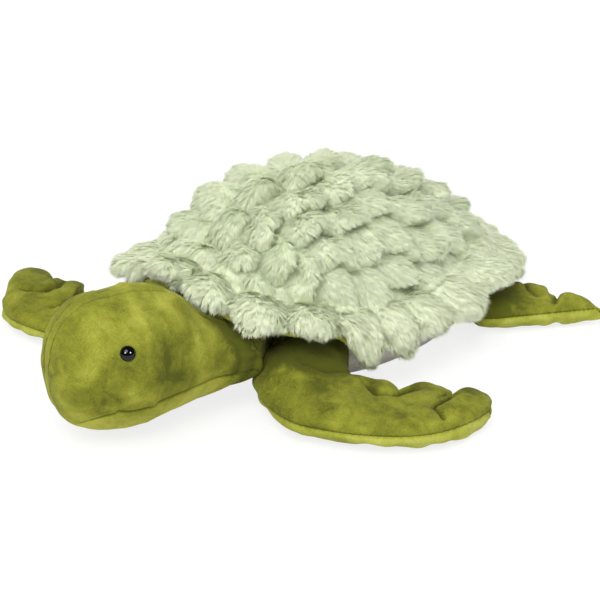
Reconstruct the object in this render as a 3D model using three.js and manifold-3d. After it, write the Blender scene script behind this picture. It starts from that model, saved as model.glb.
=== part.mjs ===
// A large stuffed sea turtle that lies on its belly, made as the sewn pieces that it comes apart into:
// velour skins, a long-pile quilted shell cover with its lined brim, the stuffing inside each form,
// and two safety eyes with their locking washers.
// Lengths are in millimetres and angles in degrees. +Z is up, the head points along -Y, and +X is the
// turtle's left side. The origin is on the flat of the belly.

import * as THREE from 'three';
import Module from 'manifold-3d';
import { mergeVertices } from 'three/addons/utils/BufferGeometryUtils.js';

const wasm = await Module();
wasm.setup();

// Fabric, and the room between pieces
const fabric = 2; // thickness of the velour with its pile
const seat = 0.3; // gap between pieces that touch
const overrun = 12; // how far a cutting shape passes what it cuts
const floorFlat = 0.5; // how much of a form is pressed flat where it rests

// Plan of the body and the shell
const planPower = 2.3; // 2 is an ellipse, more is squarer
const eggShare = 0.12; // how much wider the front is than the rear
const bodyLength = 276;
const bodyWidth = 212;
const bellySeam = 26; // height of the seam between belly and side band, where the side is fullest
const bodyWall = 26; // height at which the side is fullest

// Shell cover
const shellLength = 394;
const shellWidth = 280;
const shellHeight = 159;
const shellForward = 5; // how far the shell's middle is ahead of the belly's
const crownForward = 32; // how far its crown leans further ahead
const coverDepth = 14; // quilted fur with its backing
const brimDepth = 14; // the same at the loose brim
const brimShare = 0.77; // where the brim starts, as a share of the way out
const brimSide = 26; // height of the brim's lower edge at the sides
const brimFrontLift = 62; // how much higher it rides over the neck
const brimRearLift = 11; // and over the tail
const domeFoot = 56; // height at which the dome meets the brim at the sides
const footFollowShare = 0.47; // how much of the brim's lift the dome's foot follows
const domePowerShare = 0.77; // roundness of the dome's profile
const tuftDepth = 4.5; // depth of the valleys between the fur puffs
const puffPowerShare = 0.7; // less is a flatter puff with a sharper valley
const lobeNotch = 3.5; // how far the edge draws in between two lobes
const lobeHang = 5; // how far a lobe hangs below the lining at the sides
const footInset = 10; // how much further in the dome's foot lies on the inner face
const brimRingShares = [0.87, 0.95]; // places of the brim's rings
const liningEdgeShare = 0.9; // how far out the brim's velour lining reaches
const wallShare = 0.95; // how far out the lining's face is cut
const underShares = [0.2, 0.4, 0.6]; // places of the inner face's rings
const rimLobes = 24; // puffs along the brim

// Neck and head
const neckRadius = 22;
const neckRoot = [40, -138, 46];
const headLength = 165;
const headWidth = 108;
const headHeight = 116;
const headCrestShare = 0.42; // where the head is fullest, from the nose
const headNeckShare = 0.42; // its size at the neck, as a share of its fullest size
const headJointAt = [65.09, -170.39]; // where the head nods on the neck
const headYaw = -17; // the head's own turn in the photograph
const neckIntoHead = 9; // length of the neck's rounded end that sits back from the socket's lip
const nosePower = 2.2; // 2 is a round nose, more is blunter
const neckTaper = 1.7; // 1 is a straight taper to the neck, more narrows sooner
const headFirstShare = 0.012; // place of the nose's first ring
const headLastShare = 1.08; // and of the last ring, past the cut at the neck
const noseInsetShare = 0.11; // length over which the lining of the nose gets its full thickness
const neckJointShare = 0.945; // place of the nodding point along the head
const headEndHeight = 46; // height of the head's middle at the neck
const gussetWidth = 20; // the strip over crown, nose and chin

// Safety eyes
const eyeDiameter = 12;
const eyeDome = 4.5; // how far the eye stands off the fabric
const shankDiameter = 3;
const shankLength = 11;
const washerDiameter = 15;
const washerDepth = 1.6;
const eyeAlong = 50; // from the nose along the head
const eyeHeight = 83; // above the floor

// Flippers
const flipperSeam = 13; // height of the seam round the flipper's edge
const padPower = 2.4; // 2 is a round edge, more is fuller
const frontLeftAt = [92, -104]; // middles of the shoulders
const frontRightAt = [-95, -119];
const rearAt = [84, 100];
const frontRightSweep = 46; // the far flipper lies further forward in the photograph
const frontRootAngle = -42; // direction of the arm out of the shoulder
const rearRootAngle = 40;
const frontReach = 154; // from the shoulder's middle out to the tip
const frontRise = 30; // height of the shoulder's middle
const frontBall = 25; // radius of the rounded root
const frontDepth = 18; // half of the pad's fullest thickness past the elbow
const rearReach = 85;
const rearRise = 19;
const rearBall = 16;
const rearDepth = 14;

// Tail
const tailLength = 46;
const tailDepth = 20;

// Smoothness: rings along a form, and points round it
const domeColumns = 48;
const liningColumns = 24;
const bodyColumns = 24;
const headRings = 10;
const headColumns = 16;
const padColumns = 8;
const ballRings = 6;
const ballColumns = 16;
const eyeColumns = 12;
const eyeRings = 3;
const frontRings = 11;
const rearRings = 7;
const tailRings = 6;

const turn = Math.PI * 2;
const radians = THREE.MathUtils.degToRad;

// A geometry from rings of points, each ring closed and of the same count. Either the two ends are
// closed by a fan to the end ring's own middle, or the last ring runs on into the first.
function loft(rings, endless = false) {
  const count = rings[0].length;
  const points = rings.flat();
  const faces = [];
  const spans = endless ? rings.length : rings.length - 1;
  for (let ring = 0; ring < spans; ring += 1) {
    const near = ring * count;
    const far = (ring + 1) % rings.length * count;
    for (let at = 0; at < count; at += 1) {
      const next = (at + 1) % count;
      faces.push(near + at, near + next, far + next, near + at, far + next, far + at);
    }
  }
  if (!endless) {
    const middle = (ring) => ring.reduce((sum, point) => sum.add(point), new THREE.Vector3())
      .divideScalar(count);
    const first = points.push(middle(rings[0])) - 1;
    const last = points.push(middle(rings[rings.length - 1])) - 1;
    const start = spans * count;
    for (let at = 0; at < count; at += 1) {
      const next = (at + 1) % count;
      faces.push(first, next, at, last, start + at, start + next);
    }
  }
  const geometry = new THREE.BufferGeometry().setFromPoints(points);
  geometry.setIndex(faces);
  return geometry;
}

// A closed geometry as a solid that can be joined and cut. A form whose rings run the other way is
// turned inside out first.
function solid(geometry) {
  const bare = geometry.clone();
  bare.deleteAttribute('normal');
  bare.deleteAttribute('uv');
  const merged = mergeVertices(bare, seat / overrun ** 2);
  const place = merged.attributes.position;
  const faces = Array.from(merged.index.array);
  const corner = (at) => new THREE.Vector3().fromBufferAttribute(place, at);
  let volume = 0;
  for (let at = 0; at < faces.length; at += 3) {
    volume += corner(faces[at]).dot(corner(faces[at + 1]).cross(corner(faces[at + 2])));
  }
  if (volume < 0) faces.reverse();
  return new wasm.Manifold(new wasm.Mesh({
    numProp: 3,
    vertProperties: Float32Array.from(place.array),
    triVerts: Uint32Array.from(faces),
  }));
}

// The solid without the crumbs that a cut can leave beside it
function whole(piece) {
  return piece.decompose().reduce((best, part) => (part.volume() > best.volume() ? part : best));
}

function above(piece, height) {
  return piece.trimByPlane([0, 0, 1], height);
}

function below(piece, height) {
  return piece.trimByPlane([0, 0, -1], -height);
}

// Keeps what lies ahead of a point in a direction
function ahead(piece, point, direction) {
  const way = direction.clone().normalize();
  return piece.trimByPlane(way.toArray(), way.dot(point));
}

function level(angle) {
  return new THREE.Vector3(Math.cos(radians(angle)), Math.sin(radians(angle)), 0);
}

function between(from, to, share) {
  return from + (to - from) * share;
}

// A point of the egg-shaped plan that body, shell and belly share
function planPoint(angle, width, length, height) {
  const across = Math.cos(angle);
  const along = Math.sin(angle);
  const reach = (Math.abs(across) ** planPower + Math.abs(along) ** planPower) ** (-1 / planPower);
  const egg = 1 - eggShare * along * reach;
  return new THREE.Vector3(across * reach * egg * width / 2, along * reach * length / 2, height);
}

function ringOf(columns, pointAt) {
  return Array.from({ length: columns }, (_, at) => pointAt(turn * at / columns, at));
}

// Body: an upright loaf whose flat underside carries the toy. Its top is cut by the shell above it.
const bodyShares = [[0, 0.86], [0.35, 0.95], [1, 1], [2, 1], [3, 0.97], [6.2, 0.93]];

function bodyForm(inset) {
  return solid(loft(bodyShares.map(([rise, share]) => {
    const height = inset + rise * bodyWall;
    return ringOf(bodyColumns, (angle) => planPoint(
      angle,
      bodyWidth * share - 2 * inset,
      bodyLength * share - 2 * inset,
      height,
    ));
  })));
}

// Shell: the brim rides high over the neck, low along the sides and half-way over the tail
function brimHeight(angle) {
  const along = Math.sin(angle);
  return brimSide + (along < 0 ? brimFrontLift * along ** 2 : brimRearLift * along);
}

function footHeight(angle) {
  return domeFoot + footFollowShare * (brimHeight(angle) - brimSide);
}

// A point of the shell's inner face, at a share of the way from the crown to the edge of the brim
const innerFootShare = brimShare - 2 * footInset / shellWidth;

function innerPoint(share, angle, drop) {
  const foot = footHeight(angle);
  let height = between(foot, brimHeight(angle), (share - innerFootShare) / (1 - innerFootShare));
  if (share < innerFootShare) {
    const rise = (1 - (share / innerFootShare) ** 2) ** domePowerShare;
    height = between(foot, shellHeight - coverDepth, rise);
  }
  const point = planPoint(angle, shellWidth * share, shellLength * share, height - drop);
  point.y -= shellForward + crownForward * Math.max(0, 1 - share);
  return point;
}

function outerPoint(share, angle, push) {
  const foot = footHeight(angle) + coverDepth;
  const edge = brimHeight(angle) + brimDepth;
  let height = between(foot, edge, (share - brimShare) / (1 - brimShare));
  if (share < brimShare) {
    const rise = (1 - (share / brimShare) ** 2) ** domePowerShare;
    height = between(foot, shellHeight, rise);
  }
  const point = planPoint(angle, shellWidth * share, shellLength * share, height);
  const heart = new THREE.Vector3(0, 0, brimSide);
  const away = point.clone().sub(heart).setLength(push);
  point.add(away);
  point.y -= shellForward + crownForward * Math.max(0, 1 - share);
  return point;
}

// Rows of fur puffs, from the crown down to the brim: where each row starts and ends as a share of
// the way out, and how many puffs it has. Puffs of one row lie over the gaps of the next.
const puffRowShares = [
  [0.1, 0.27, 8],
  [0.27, 0.44, 12],
  [0.44, 0.62, 16],
  [0.62, brimShare, rimLobes],
];
const puffCrownShares = [0.3, 0.72];

function puffSwell(angle, puffs, row) {
  return Math.abs(Math.cos(angle * puffs / 2 + (row % 2) * Math.PI / 2)) ** puffPowerShare;
}

function coverRings() {
  const rings = [
    ringOf(domeColumns, (angle) => outerPoint(puffRowShares[0][0] / 2, angle, 0)),
  ];
  puffRowShares.forEach(([from, to, puffs], row) => {
    rings.push(ringOf(domeColumns, (angle) => outerPoint(from, angle, -tuftDepth)));
    puffCrownShares.forEach((crown) => {
      rings.push(ringOf(domeColumns, (angle) => {
        const swell = puffSwell(angle, puffs, row);
        return outerPoint(between(from, to, crown), angle, -tuftDepth * (1 - swell));
      }));
    });
  });
  const lobe = (angle) => puffSwell(angle, rimLobes, puffRowShares.length);
  const notch = (angle) => lobeNotch * (1 - lobe(angle));
  rings.push(ringOf(domeColumns, (angle) => outerPoint(brimShare, angle, -tuftDepth)));
  brimRingShares.forEach((share) => {
    rings.push(ringOf(domeColumns, (angle) => outerPoint(share, angle, -notch(angle))));
  });
  const hang = (angle) => lobeHang * lobe(angle) * Math.cos(angle) ** 4;
  const edge = (share, drop) => rings.push(ringOf(domeColumns, (angle) => {
    const point = outerPoint(share - 2 * notch(angle) / shellWidth, angle, 0);
    point.z = drop(angle);
    return point;
  }));
  edge(1, (angle) => brimHeight(angle) + brimDepth / 2 - hang(angle));
  edge(wallShare, (angle) => brimHeight(angle) - hang(angle));
  edge(liningEdgeShare, (angle) => brimHeight(angle) - overrun);
  return rings;
}

// Everything under the shell's inner face, lowered by a distance, down past the floor
function underShell(drop) {
  const shares = [...underShares, innerFootShare, liningEdgeShare, wallShare];
  const rings = shares.map((share) => ringOf(liningColumns, (angle) => innerPoint(share, angle, drop)));
  rings.push(ringOf(liningColumns, (angle) => {
    const point = innerPoint(wallShare, angle, 0);
    point.z = -overrun;
    return point;
  }));
  return solid(loft(rings));
}

// A ball of facets whose poles lie along a direction. Its facets' middles lie inside its radius, so a
// socket is larger: by one factor where the ball turns about its poles, and by both where it turns freely.
function ball(centre, radius, pole) {
  const geometry = new THREE.SphereGeometry(radius, ballColumns, ballRings);
  geometry.applyQuaternion(new THREE.Quaternion().setFromUnitVectors(new THREE.Vector3(0, 1, 0), pole));
  return solid(geometry).translate(centre);
}

const hingeFlatShare = Math.cos(Math.PI / ballColumns);
const freeFlatShare = hingeFlatShare * Math.cos(Math.PI / (2 * ballRings));

// A rounded rod between two points
function capsule(from, to, radius) {
  const start = new THREE.Vector3(...from);
  const way = new THREE.Vector3(...to).sub(start);
  const geometry = new THREE.CapsuleGeometry(radius, way.length(), ballRings / 2, ballColumns);
  geometry.rotateX(Math.PI / 2);
  geometry.translate(0, 0, way.length() / 2);
  const level = new THREE.Quaternion().setFromUnitVectors(new THREE.Vector3(0, 0, 1), way.normalize());
  geometry.applyQuaternion(level);
  geometry.translate(...from);
  return solid(geometry);
}

// Head: its own line runs from the nose to the neck
const headWay = new THREE.Vector3(-Math.sin(radians(headYaw)), Math.cos(radians(headYaw)), 0);
const headAcross = new THREE.Vector3(headWay.y, -headWay.x, 0);
const nose = new THREE.Vector3(...headJointAt, 0)
  .addScaledVector(headWay, -neckJointShare * headLength);

function headSwell(share) {
  if (share < headCrestShare) {
    const back = (headCrestShare - share) / headCrestShare;
    return (1 - back ** nosePower) ** (1 / nosePower);
  }
  const on = (share - headCrestShare) / (1 - headCrestShare);
  return between(headNeckShare, 1, (1 - on) ** neckTaper);
}

function headMiddle(share) {
  const full = headHeight / 2 - floorFlat;
  const on = Math.max(0, (share - headCrestShare) / (1 - headCrestShare));
  return between(full, headEndHeight, on);
}

function headPoint(along, across, height) {
  return nose.clone().addScaledVector(headWay, along).addScaledVector(headAcross, across)
    .setZ(height);
}

const headJoint = headPoint(neckJointShare * headLength, 0, headEndHeight);
const neckWay = headJoint.clone().sub(new THREE.Vector3(...neckRoot)).normalize();

function headForm(inset, past = 0) {
  const rings = [];
  for (let at = 0; at < headRings; at += 1) {
    const on = 1 - Math.cos(Math.PI / 2 * at / (headRings - 1));
    const share = between(headFirstShare, headLastShare, on);
    const swell = headSwell(Math.min(share, 1));
    const along = between(inset, headLength, share);
    const wall = inset * Math.min(1, share / noseInsetShare);
    rings.push(ringOf(headColumns, (angle) => headPoint(
      along,
      Math.cos(angle) * (swell * headWidth / 2 - wall),
      headMiddle(share) + Math.sin(angle) * (swell * headHeight / 2 - wall),
    )));
  }
  const lip = headJoint.clone().addScaledVector(neckWay, neckIntoHead - past);
  return above(ahead(solid(loft(rings)), lip, neckWay), inset);
}

// Flipper outlines, in the flipper's own plan: each station has a point on the leading edge and one on
// the trailing edge, then the middle's height and half thickness. The places are shares of the reach,
// the heights shares of the shoulder's height and of the pad's depth. The trailing edge has three
// fingers, with a notch between each pair.
const frontShares = [
  [-0.11, -0.13, 0.11, 0.11, 0.97, 1.22],
  [-0.11, -0.25, 0.21, 0, 0.91, 1.26],
  [-0.08, -0.37, 0.29, -0.07, 0.8, 1.18],
  [0.08, -0.48, 0.34, -0.06, 0.72, 1.16],
  [0.27, -0.51, 0.37, 0.06, 0.62, 1.06],
  [0.42, -0.49, 0.44, 0.12, 0.58, 1],
  [0.55, -0.42, 0.57, 0.06, 0.55, 0.86],
  [0.67, -0.34, 0.6, 0.24, 0.55, 0.92],
  [0.81, -0.22, 0.77, 0.2, 0.5, 0.82],
  [0.91, -0.07, 0.81, 0.36, 0.5, 0.86],
  [0.965, 0.12, 0.91, 0.36, 0.5, 0.76],
  [0.985, 0.25, 0.96, 0.31, 0.48, 0.45],
];
const rearShares = [
  [0.02, -0.15, -0.02, 0.15, 1, 1.05],
  [0.1, -0.28, 0.05, 0.27, 0.9, 1.12],
  [0.3, -0.33, 0.12, 0.42, 0.8, 1.08],
  [0.49, -0.15, 0.24, 0.58, 0.71, 1],
  [0.64, 0.14, 0.45, 0.61, 0.62, 0.88],
  [0.75, 0.4, 0.59, 0.74, 0.59, 0.84],
  [0.9, 0.64, 0.83, 0.83, 0.58, 0.6],
  [0.985, 0.8, 0.97, 0.84, 0.52, 0.3],
];
const tailShares = [
  [-0.1, -0.37, -0.1, 0.37, 1, 1],
  [0.3, -0.34, 0.3, 0.34, 0.98, 0.94],
  [0.6, -0.24, 0.6, 0.24, 0.92, 0.84],
  [0.88, -0.1, 0.88, 0.1, 0.85, 0.6],
  [0.99, -0.03, 0.99, 0.03, 0.8, 0.3],
];
// The pad between the two edges: a smooth curve runs through each column of the table. An inner form
// stops one ring sooner, and its last ring draws back by the form's inset.
function padForm(shares, sizes, inset) {
  const curve = (first, scaleX, scaleY) => new THREE.CatmullRomCurve3(shares.map((row) => (
    new THREE.Vector3(row[first] * scaleX, row[first + 1] * scaleY, 0)
  )));
  const lead = curve(0, sizes.reach, sizes.reach);
  const trail = curve(2, sizes.reach, sizes.reach);
  const depth = curve(4, sizes.rise, sizes.depth);
  const rings = [];
  const last = inset > 0 ? sizes.rings - 1 : sizes.rings;
  for (let at = 0; at <= last; at += 1) {
    const share = at / sizes.rings;
    const from = lead.getPoint(share);
    const to = trail.getPoint(share);
    const middle = from.clone().add(to).divideScalar(2);
    const half = to.clone().sub(from).divideScalar(2);
    const { x: height, y: thick } = depth.getPoint(share);
    half.setLength(Math.max(half.length() - inset, fabric / 2));
    const lift = Math.max(thick - inset, fabric / 2);
    rings.push(ringOf(padColumns, (angle) => {
      const out = Math.sign(Math.cos(angle)) * Math.abs(Math.cos(angle)) ** (2 / padPower);
      const up = Math.sign(Math.sin(angle)) * Math.abs(Math.sin(angle)) ** (2 / padPower);
      return middle.clone().addScaledVector(half, out).setZ(height + up * lift);
    }));
  }
  const back = inset * sizes.rings / sizes.reach;
  rings[last].forEach((point, at) => point.lerp(rings[last - 1][at], back));
  return solid(loft(rings));
}

// A flipper before it is set in place: two velour panels, open at the root, the stuffing, and the room
// for its rounded root, which turns about a level line across the arm
function flipper(shares, sizes, rootAngle) {
  const centre = [0, 0, sizes.rise];
  const rootWay = level(rootAngle);
  const pole = level(rootAngle + 90);
  const form = (inset) => above(
    padForm(shares, sizes, inset).add(ball(centre, sizes.ball - inset, pole)),
    inset,
  );
  const mouth = new THREE.Vector3(...centre).addScaledVector(rootWay, -sizes.ball / 2);
  const hollow = form(fabric);
  const skin = ahead(form(0).subtract(hollow), mouth, rootWay);
  const filling = [[seat, 0], [-seat, 0], [0, seat], [0, -seat]].reduce(
    (rest, [across, along]) => rest.intersect(hollow.translate([across, along, 0])),
    form(fabric + seat),
  );
  return {
    upper: whole(above(skin, flipperSeam + seat / 2)),
    lower: whole(below(skin, flipperSeam - seat / 2)),
    filling: whole(filling),
    room: (extra) => ball(centre, (sizes.ball + seat) / hingeFlatShare + extra, pole),
  };
}

const looks = {
  velour: { color: 0x8e9a32, roughness: 0.85 },
  shadedVelour: { color: 0x5f641e, roughness: 0.9 },
  fur: { color: 0xc8d8b8, roughness: 1 },
  belly: { color: 0xe9e6dc, roughness: 0.95 },
  stuffing: { color: 0xf2f0ea, roughness: 1 },
  eye: { color: 0x0b0b0c, roughness: 0.08 },
  washer: { color: 0xe6e6e2, roughness: 0.5 },
};

const toy = new THREE.Group();

function geometryOf(piece) {
  const { vertProperties, triVerts } = piece.getMesh();
  const geometry = new THREE.BufferGeometry();
  geometry.setAttribute('position', new THREE.BufferAttribute(Float32Array.from(vertProperties), 3));
  geometry.setIndex(Array.from(triVerts));
  geometry.computeVertexNormals();
  return geometry;
}

function addPiece(name, piece, look) {
  const mesh = new THREE.Mesh(geometryOf(piece), new THREE.MeshStandardMaterial({ ...look, metalness: 0 }));
  mesh.name = name;
  toy.add(mesh);
  return mesh;
}

// The two front flippers share one shape, and so do the two rear ones
const frontSizes = {
  reach: frontReach,
  rise: frontRise,
  depth: frontDepth,
  ball: frontBall,
  rings: frontRings,
};
const rearSizes = { reach: rearReach, rise: rearRise, depth: rearDepth, ball: rearBall, rings: rearRings };
const frontPieces = flipper(frontShares, frontSizes, frontRootAngle);
const rearPieces = flipper(rearShares, rearSizes, rearRootAngle);
const rearRightAt = [-rearAt[0], rearAt[1]];
const limbs = [
  { name: 'flipper_front_left', at: frontLeftAt, side: 1, sweep: 0, pieces: frontPieces },
  { name: 'flipper_front_right', at: frontRightAt, side: -1, sweep: frontRightSweep, pieces: frontPieces },
  { name: 'flipper_rear_left', at: rearAt, side: 1, sweep: 0, pieces: rearPieces },
  { name: 'flipper_rear_right', at: rearRightAt, side: -1, sweep: 0, pieces: rearPieces },
];

function setPlace(limb, piece) {
  const sided = limb.side < 0 ? piece.mirror([1, 0, 0]) : piece;
  return sided.rotate([0, 0, limb.sweep]).translate([...limb.at, 0]);
}

limbs.forEach((limb) => {
  addPiece(`${limb.name}_upper`, setPlace(limb, limb.pieces.upper), looks.velour);
  addPiece(`${limb.name}_lower`, setPlace(limb, limb.pieces.lower), looks.velour);
  addPiece(`${limb.name}_filling`, setPlace(limb, limb.pieces.filling), looks.stuffing);
});

// Body, cut round the rounded roots that sit in it
const up = new THREE.Vector3(0, 0, 1);
const neckRoomRadius = (neckRadius + seat) / freeFlatShare;

function roots(extra) {
  return limbs.reduce(
    (all, limb) => all.add(setPlace(limb, limb.pieces.room(extra))),
    ball(neckRoot, neckRoomRadius + extra, up),
  );
}

const underCover = underShell(seat);
const bodyOuter = bodyForm(0).intersect(underCover).subtract(roots(0));
const bodyInner = bodyForm(fabric).subtract(roots(fabric));
const bodySkin = bodyOuter.subtract(bodyInner);
addPiece('belly_panel', whole(below(bodySkin, bellySeam)), looks.belly);
addPiece('body_side_band', whole(above(bodySkin, bellySeam + seat)), looks.shadedVelour);
const fillingInset = fabric + seat;
const bodyFilling = bodyForm(fillingInset).intersect(underCover).subtract(roots(fillingInset));
addPiece('body_filling', whole(bodyFilling), looks.stuffing);

// Shell cover and the velour lining of its brim
addPiece('shell_cover', whole(solid(loft(coverRings())).subtract(underShell(0))), looks.fur);
const liningDrop = 1.5 * seat;
const liningCorners = [
  [innerFootShare, liningDrop],
  [liningEdgeShare, liningDrop],
  [liningEdgeShare, liningDrop + fabric],
  [innerFootShare, liningDrop + fabric],
];
const liningRing = solid(loft(ringOf(liningColumns, (angle) => liningCorners.map(
  ([share, drop]) => innerPoint(share, angle, drop),
)), true));
addPiece('rim_lining', whole(liningRing.subtract(bodyForm(-seat))), looks.velour);

// Neck
const neckFull = (inset) => capsule(neckRoot, headJoint.toArray(), neckRadius - inset);
const neckHalf = new THREE.Vector3(...neckRoot).addScaledVector(neckWay, -neckRadius / 2);
const neckEnd = headJoint.clone().addScaledVector(neckWay, neckRadius / 2);
const neckSkin = ahead(
  ahead(neckFull(0).subtract(neckFull(fabric)), neckHalf, neckWay),
  neckEnd,
  neckWay.clone().negate(),
);
addPiece('neck_skin', whole(neckSkin), looks.shadedVelour);
addPiece('neck_filling', neckFull(fillingInset), looks.stuffing);

// Head: two side panels and the gusset between them, over one stuffing that holds the neck's end
const neckRoom = ball(headJoint.toArray(), neckRoomRadius, up);
const headSkin = headForm(0).subtract(headForm(fabric, overrun)).subtract(neckRoom);
const gussetSide = (side, gap) => headPoint(0, side * (gussetWidth / 2 + gap), 0);
const sideways = { left: headAcross, right: headAcross.clone().negate() };
let headFilling = headForm(fillingInset).subtract(neckRoom);

// Where an eye sits on the head's side, and the direction that it looks in
const headMesh = new THREE.Mesh(geometryOf(headForm(0)));

function eyePlace(side) {
  const onHead = (along, height) => {
    const start = headPoint(along, side * headWidth, height);
    const inward = headAcross.clone().multiplyScalar(-side);
    return new THREE.Raycaster(start, inward).intersectObject(headMesh)[0].point;
  };
  const reach = washerDiameter / 2;
  const along = onHead(eyeAlong + reach, eyeHeight).sub(onHead(eyeAlong - reach, eyeHeight));
  const rise = onHead(eyeAlong, eyeHeight + reach).sub(onHead(eyeAlong, eyeHeight - reach));
  return {
    point: onHead(eyeAlong, eyeHeight),
    out: along.cross(rise).normalize().multiplyScalar(side),
  };
}

// A turned piece whose axis is set along a direction from a point
function turned(profile, place) {
  const geometry = new THREE.LatheGeometry(profile.map(([r, y]) => new THREE.Vector2(r, y)), eyeColumns);
  const level = new THREE.Quaternion().setFromUnitVectors(new THREE.Vector3(0, 1, 0), place.out);
  geometry.applyQuaternion(level);
  geometry.translate(...place.point.toArray());
  return solid(geometry);
}

function rod(radius, from, to, place) {
  return turned([[0, from], [radius, from], [radius, to], [0, to]], place);
}

const eyeBack = seat;
const washerTop = -(fabric + 3 * seat);
const eyeProfile = [[0, -shankLength], [shankDiameter / 2, -shankLength], [shankDiameter / 2, eyeBack],
  [eyeDiameter / 2, eyeBack]];
for (let at = 1; at <= eyeRings; at += 1) {
  const rise = Math.PI / 2 * at / eyeRings;
  eyeProfile.push([eyeDiameter / 2 * Math.cos(rise), eyeBack + eyeDome * Math.sin(rise)]);
}
eyeProfile[eyeProfile.length - 1][0] = 0;
const washerProfile = [
  [shankDiameter / 2 + seat, washerTop],
  [shankDiameter / 2 + seat, washerTop - washerDepth],
  [washerDiameter / 2, washerTop - washerDepth],
  [washerDiameter / 2, washerTop],
  [shankDiameter / 2 + seat, washerTop],
];

// The fabric is pressed flat under each eye and washer, and the stuffing makes room for them
['left', 'right'].forEach((name) => {
  const side = name === 'left' ? 1 : -1;
  const place = eyePlace(side);
  const washerSeat = rod(washerDiameter / 2 + seat, washerTop - washerDepth - seat, washerTop + seat, place);
  const panel = ahead(headSkin, gussetSide(side, seat / 2), sideways[name])
    .subtract(rod(shankDiameter / 2 + seat, -overrun, overrun, place))
    .subtract(rod(eyeDiameter / 2 + seat, 0, overrun, place))
    .subtract(washerSeat);
  addPiece(`head_side_${name}`, whole(panel), looks.velour);
  addPiece(`eye_${name}`, turned(eyeProfile, place), looks.eye);
  addPiece(`eye_washer_${name}`, turned(washerProfile, place), looks.washer);
  headFilling = headFilling
    .subtract(washerSeat)
    .subtract(rod(shankDiameter / 2 + seat, -shankLength - seat, overrun, place));
});
const gusset = ahead(
  ahead(headSkin, gussetSide(1, -seat / 2), sideways.right),
  gussetSide(-1, -seat / 2),
  sideways.left,
);
addPiece('head_gusset', whole(gusset), looks.velour);
addPiece('head_filling', whole(headFilling), looks.stuffing);

// Tail: a small padded point sewn into the body's rear seam
const tailSizes = { reach: tailLength, rise: tailDepth / 2, depth: tailDepth / 2, rings: tailRings };
const tailRoot = bodyLength / 2 - fabric;
function tailForm(inset) {
  return padForm(tailShares, tailSizes, inset).rotate([0, 0, 90]).translate([0, tailRoot, 0]);
}
const tailSkin = tailForm(0).subtract(tailForm(fabric)).subtract(bodyForm(-seat));
addPiece('tail_skin', whole(tailSkin), looks.velour);
addPiece('tail_filling', whole(tailForm(fillingInset).subtract(bodyForm(-seat))), looks.stuffing);

export default toy;
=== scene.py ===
# %% [markdown]
# # A big stuffed sea turtle
# A plush toy is a set of flat panels, sewn inside out, turned and stuffed. So every piece here is a
# panel or a stuffed form, worked out as points on a grid: rows one way, columns the other. The
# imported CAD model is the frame. Each piece takes the place of its plain solid there.

import bpy
import numpy as np
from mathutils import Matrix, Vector


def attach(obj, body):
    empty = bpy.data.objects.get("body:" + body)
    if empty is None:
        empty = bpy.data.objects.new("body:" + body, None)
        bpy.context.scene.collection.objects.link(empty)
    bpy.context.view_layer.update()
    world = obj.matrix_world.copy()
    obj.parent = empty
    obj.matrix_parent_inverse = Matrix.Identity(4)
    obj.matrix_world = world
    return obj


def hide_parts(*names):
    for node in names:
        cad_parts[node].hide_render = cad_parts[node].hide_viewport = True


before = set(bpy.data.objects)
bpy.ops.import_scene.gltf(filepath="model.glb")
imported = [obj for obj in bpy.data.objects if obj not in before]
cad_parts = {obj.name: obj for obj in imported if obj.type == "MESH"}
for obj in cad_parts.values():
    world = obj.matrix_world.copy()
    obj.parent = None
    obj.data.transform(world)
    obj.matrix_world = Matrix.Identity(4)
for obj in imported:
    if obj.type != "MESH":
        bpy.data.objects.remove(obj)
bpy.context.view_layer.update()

# %% [markdown]
# ## Camera
# The photograph is taken from the toy's front left, a little above it, with a long lens. The lens
# looks at the middle of the toy, and a small shift sets the frame where the photograph has it.

# %% Camera
def put(name, data):
    """A new object in the scene, at the origin, that shows a mesh, a light or a camera."""
    thing = bpy.data.objects.new(name, data)
    bpy.context.scene.collection.objects.link(thing)
    return thing


round_angle, up_angle, away = np.radians(48), np.radians(22), 1.4
looked_at = Vector((0, -0.040, 0.062))
back = Vector((
    np.sin(round_angle) * np.cos(up_angle),
    -np.cos(round_angle) * np.cos(up_angle),
    np.sin(up_angle),
))
lens = bpy.data.cameras.new("camera")
lens.lens, lens.sensor_width = 96, 36
lens.shift_x, lens.shift_y = -0.005, -0.0533
camera = put("camera", lens)
camera.location = looked_at + away * back
camera.rotation_euler = (-back).to_track_quat("-Z", "Y").to_euler()
bpy.context.scene.camera = camera
print("camera at", tuple(round(value, 3) for value in camera.location))

# %% [markdown]
# ## Helpers
# A surface is a function of two numbers, worked out for a whole grid at once. `sew` turns such a
# grid into a mesh. It finds out by itself which way is outwards, so a mirrored flipper isn't inside
# out. `settle` then says what the piece is made of, what carries it and which solids it stands for.

# %% From a grid of points to a mesh
MM = 0.001


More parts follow.
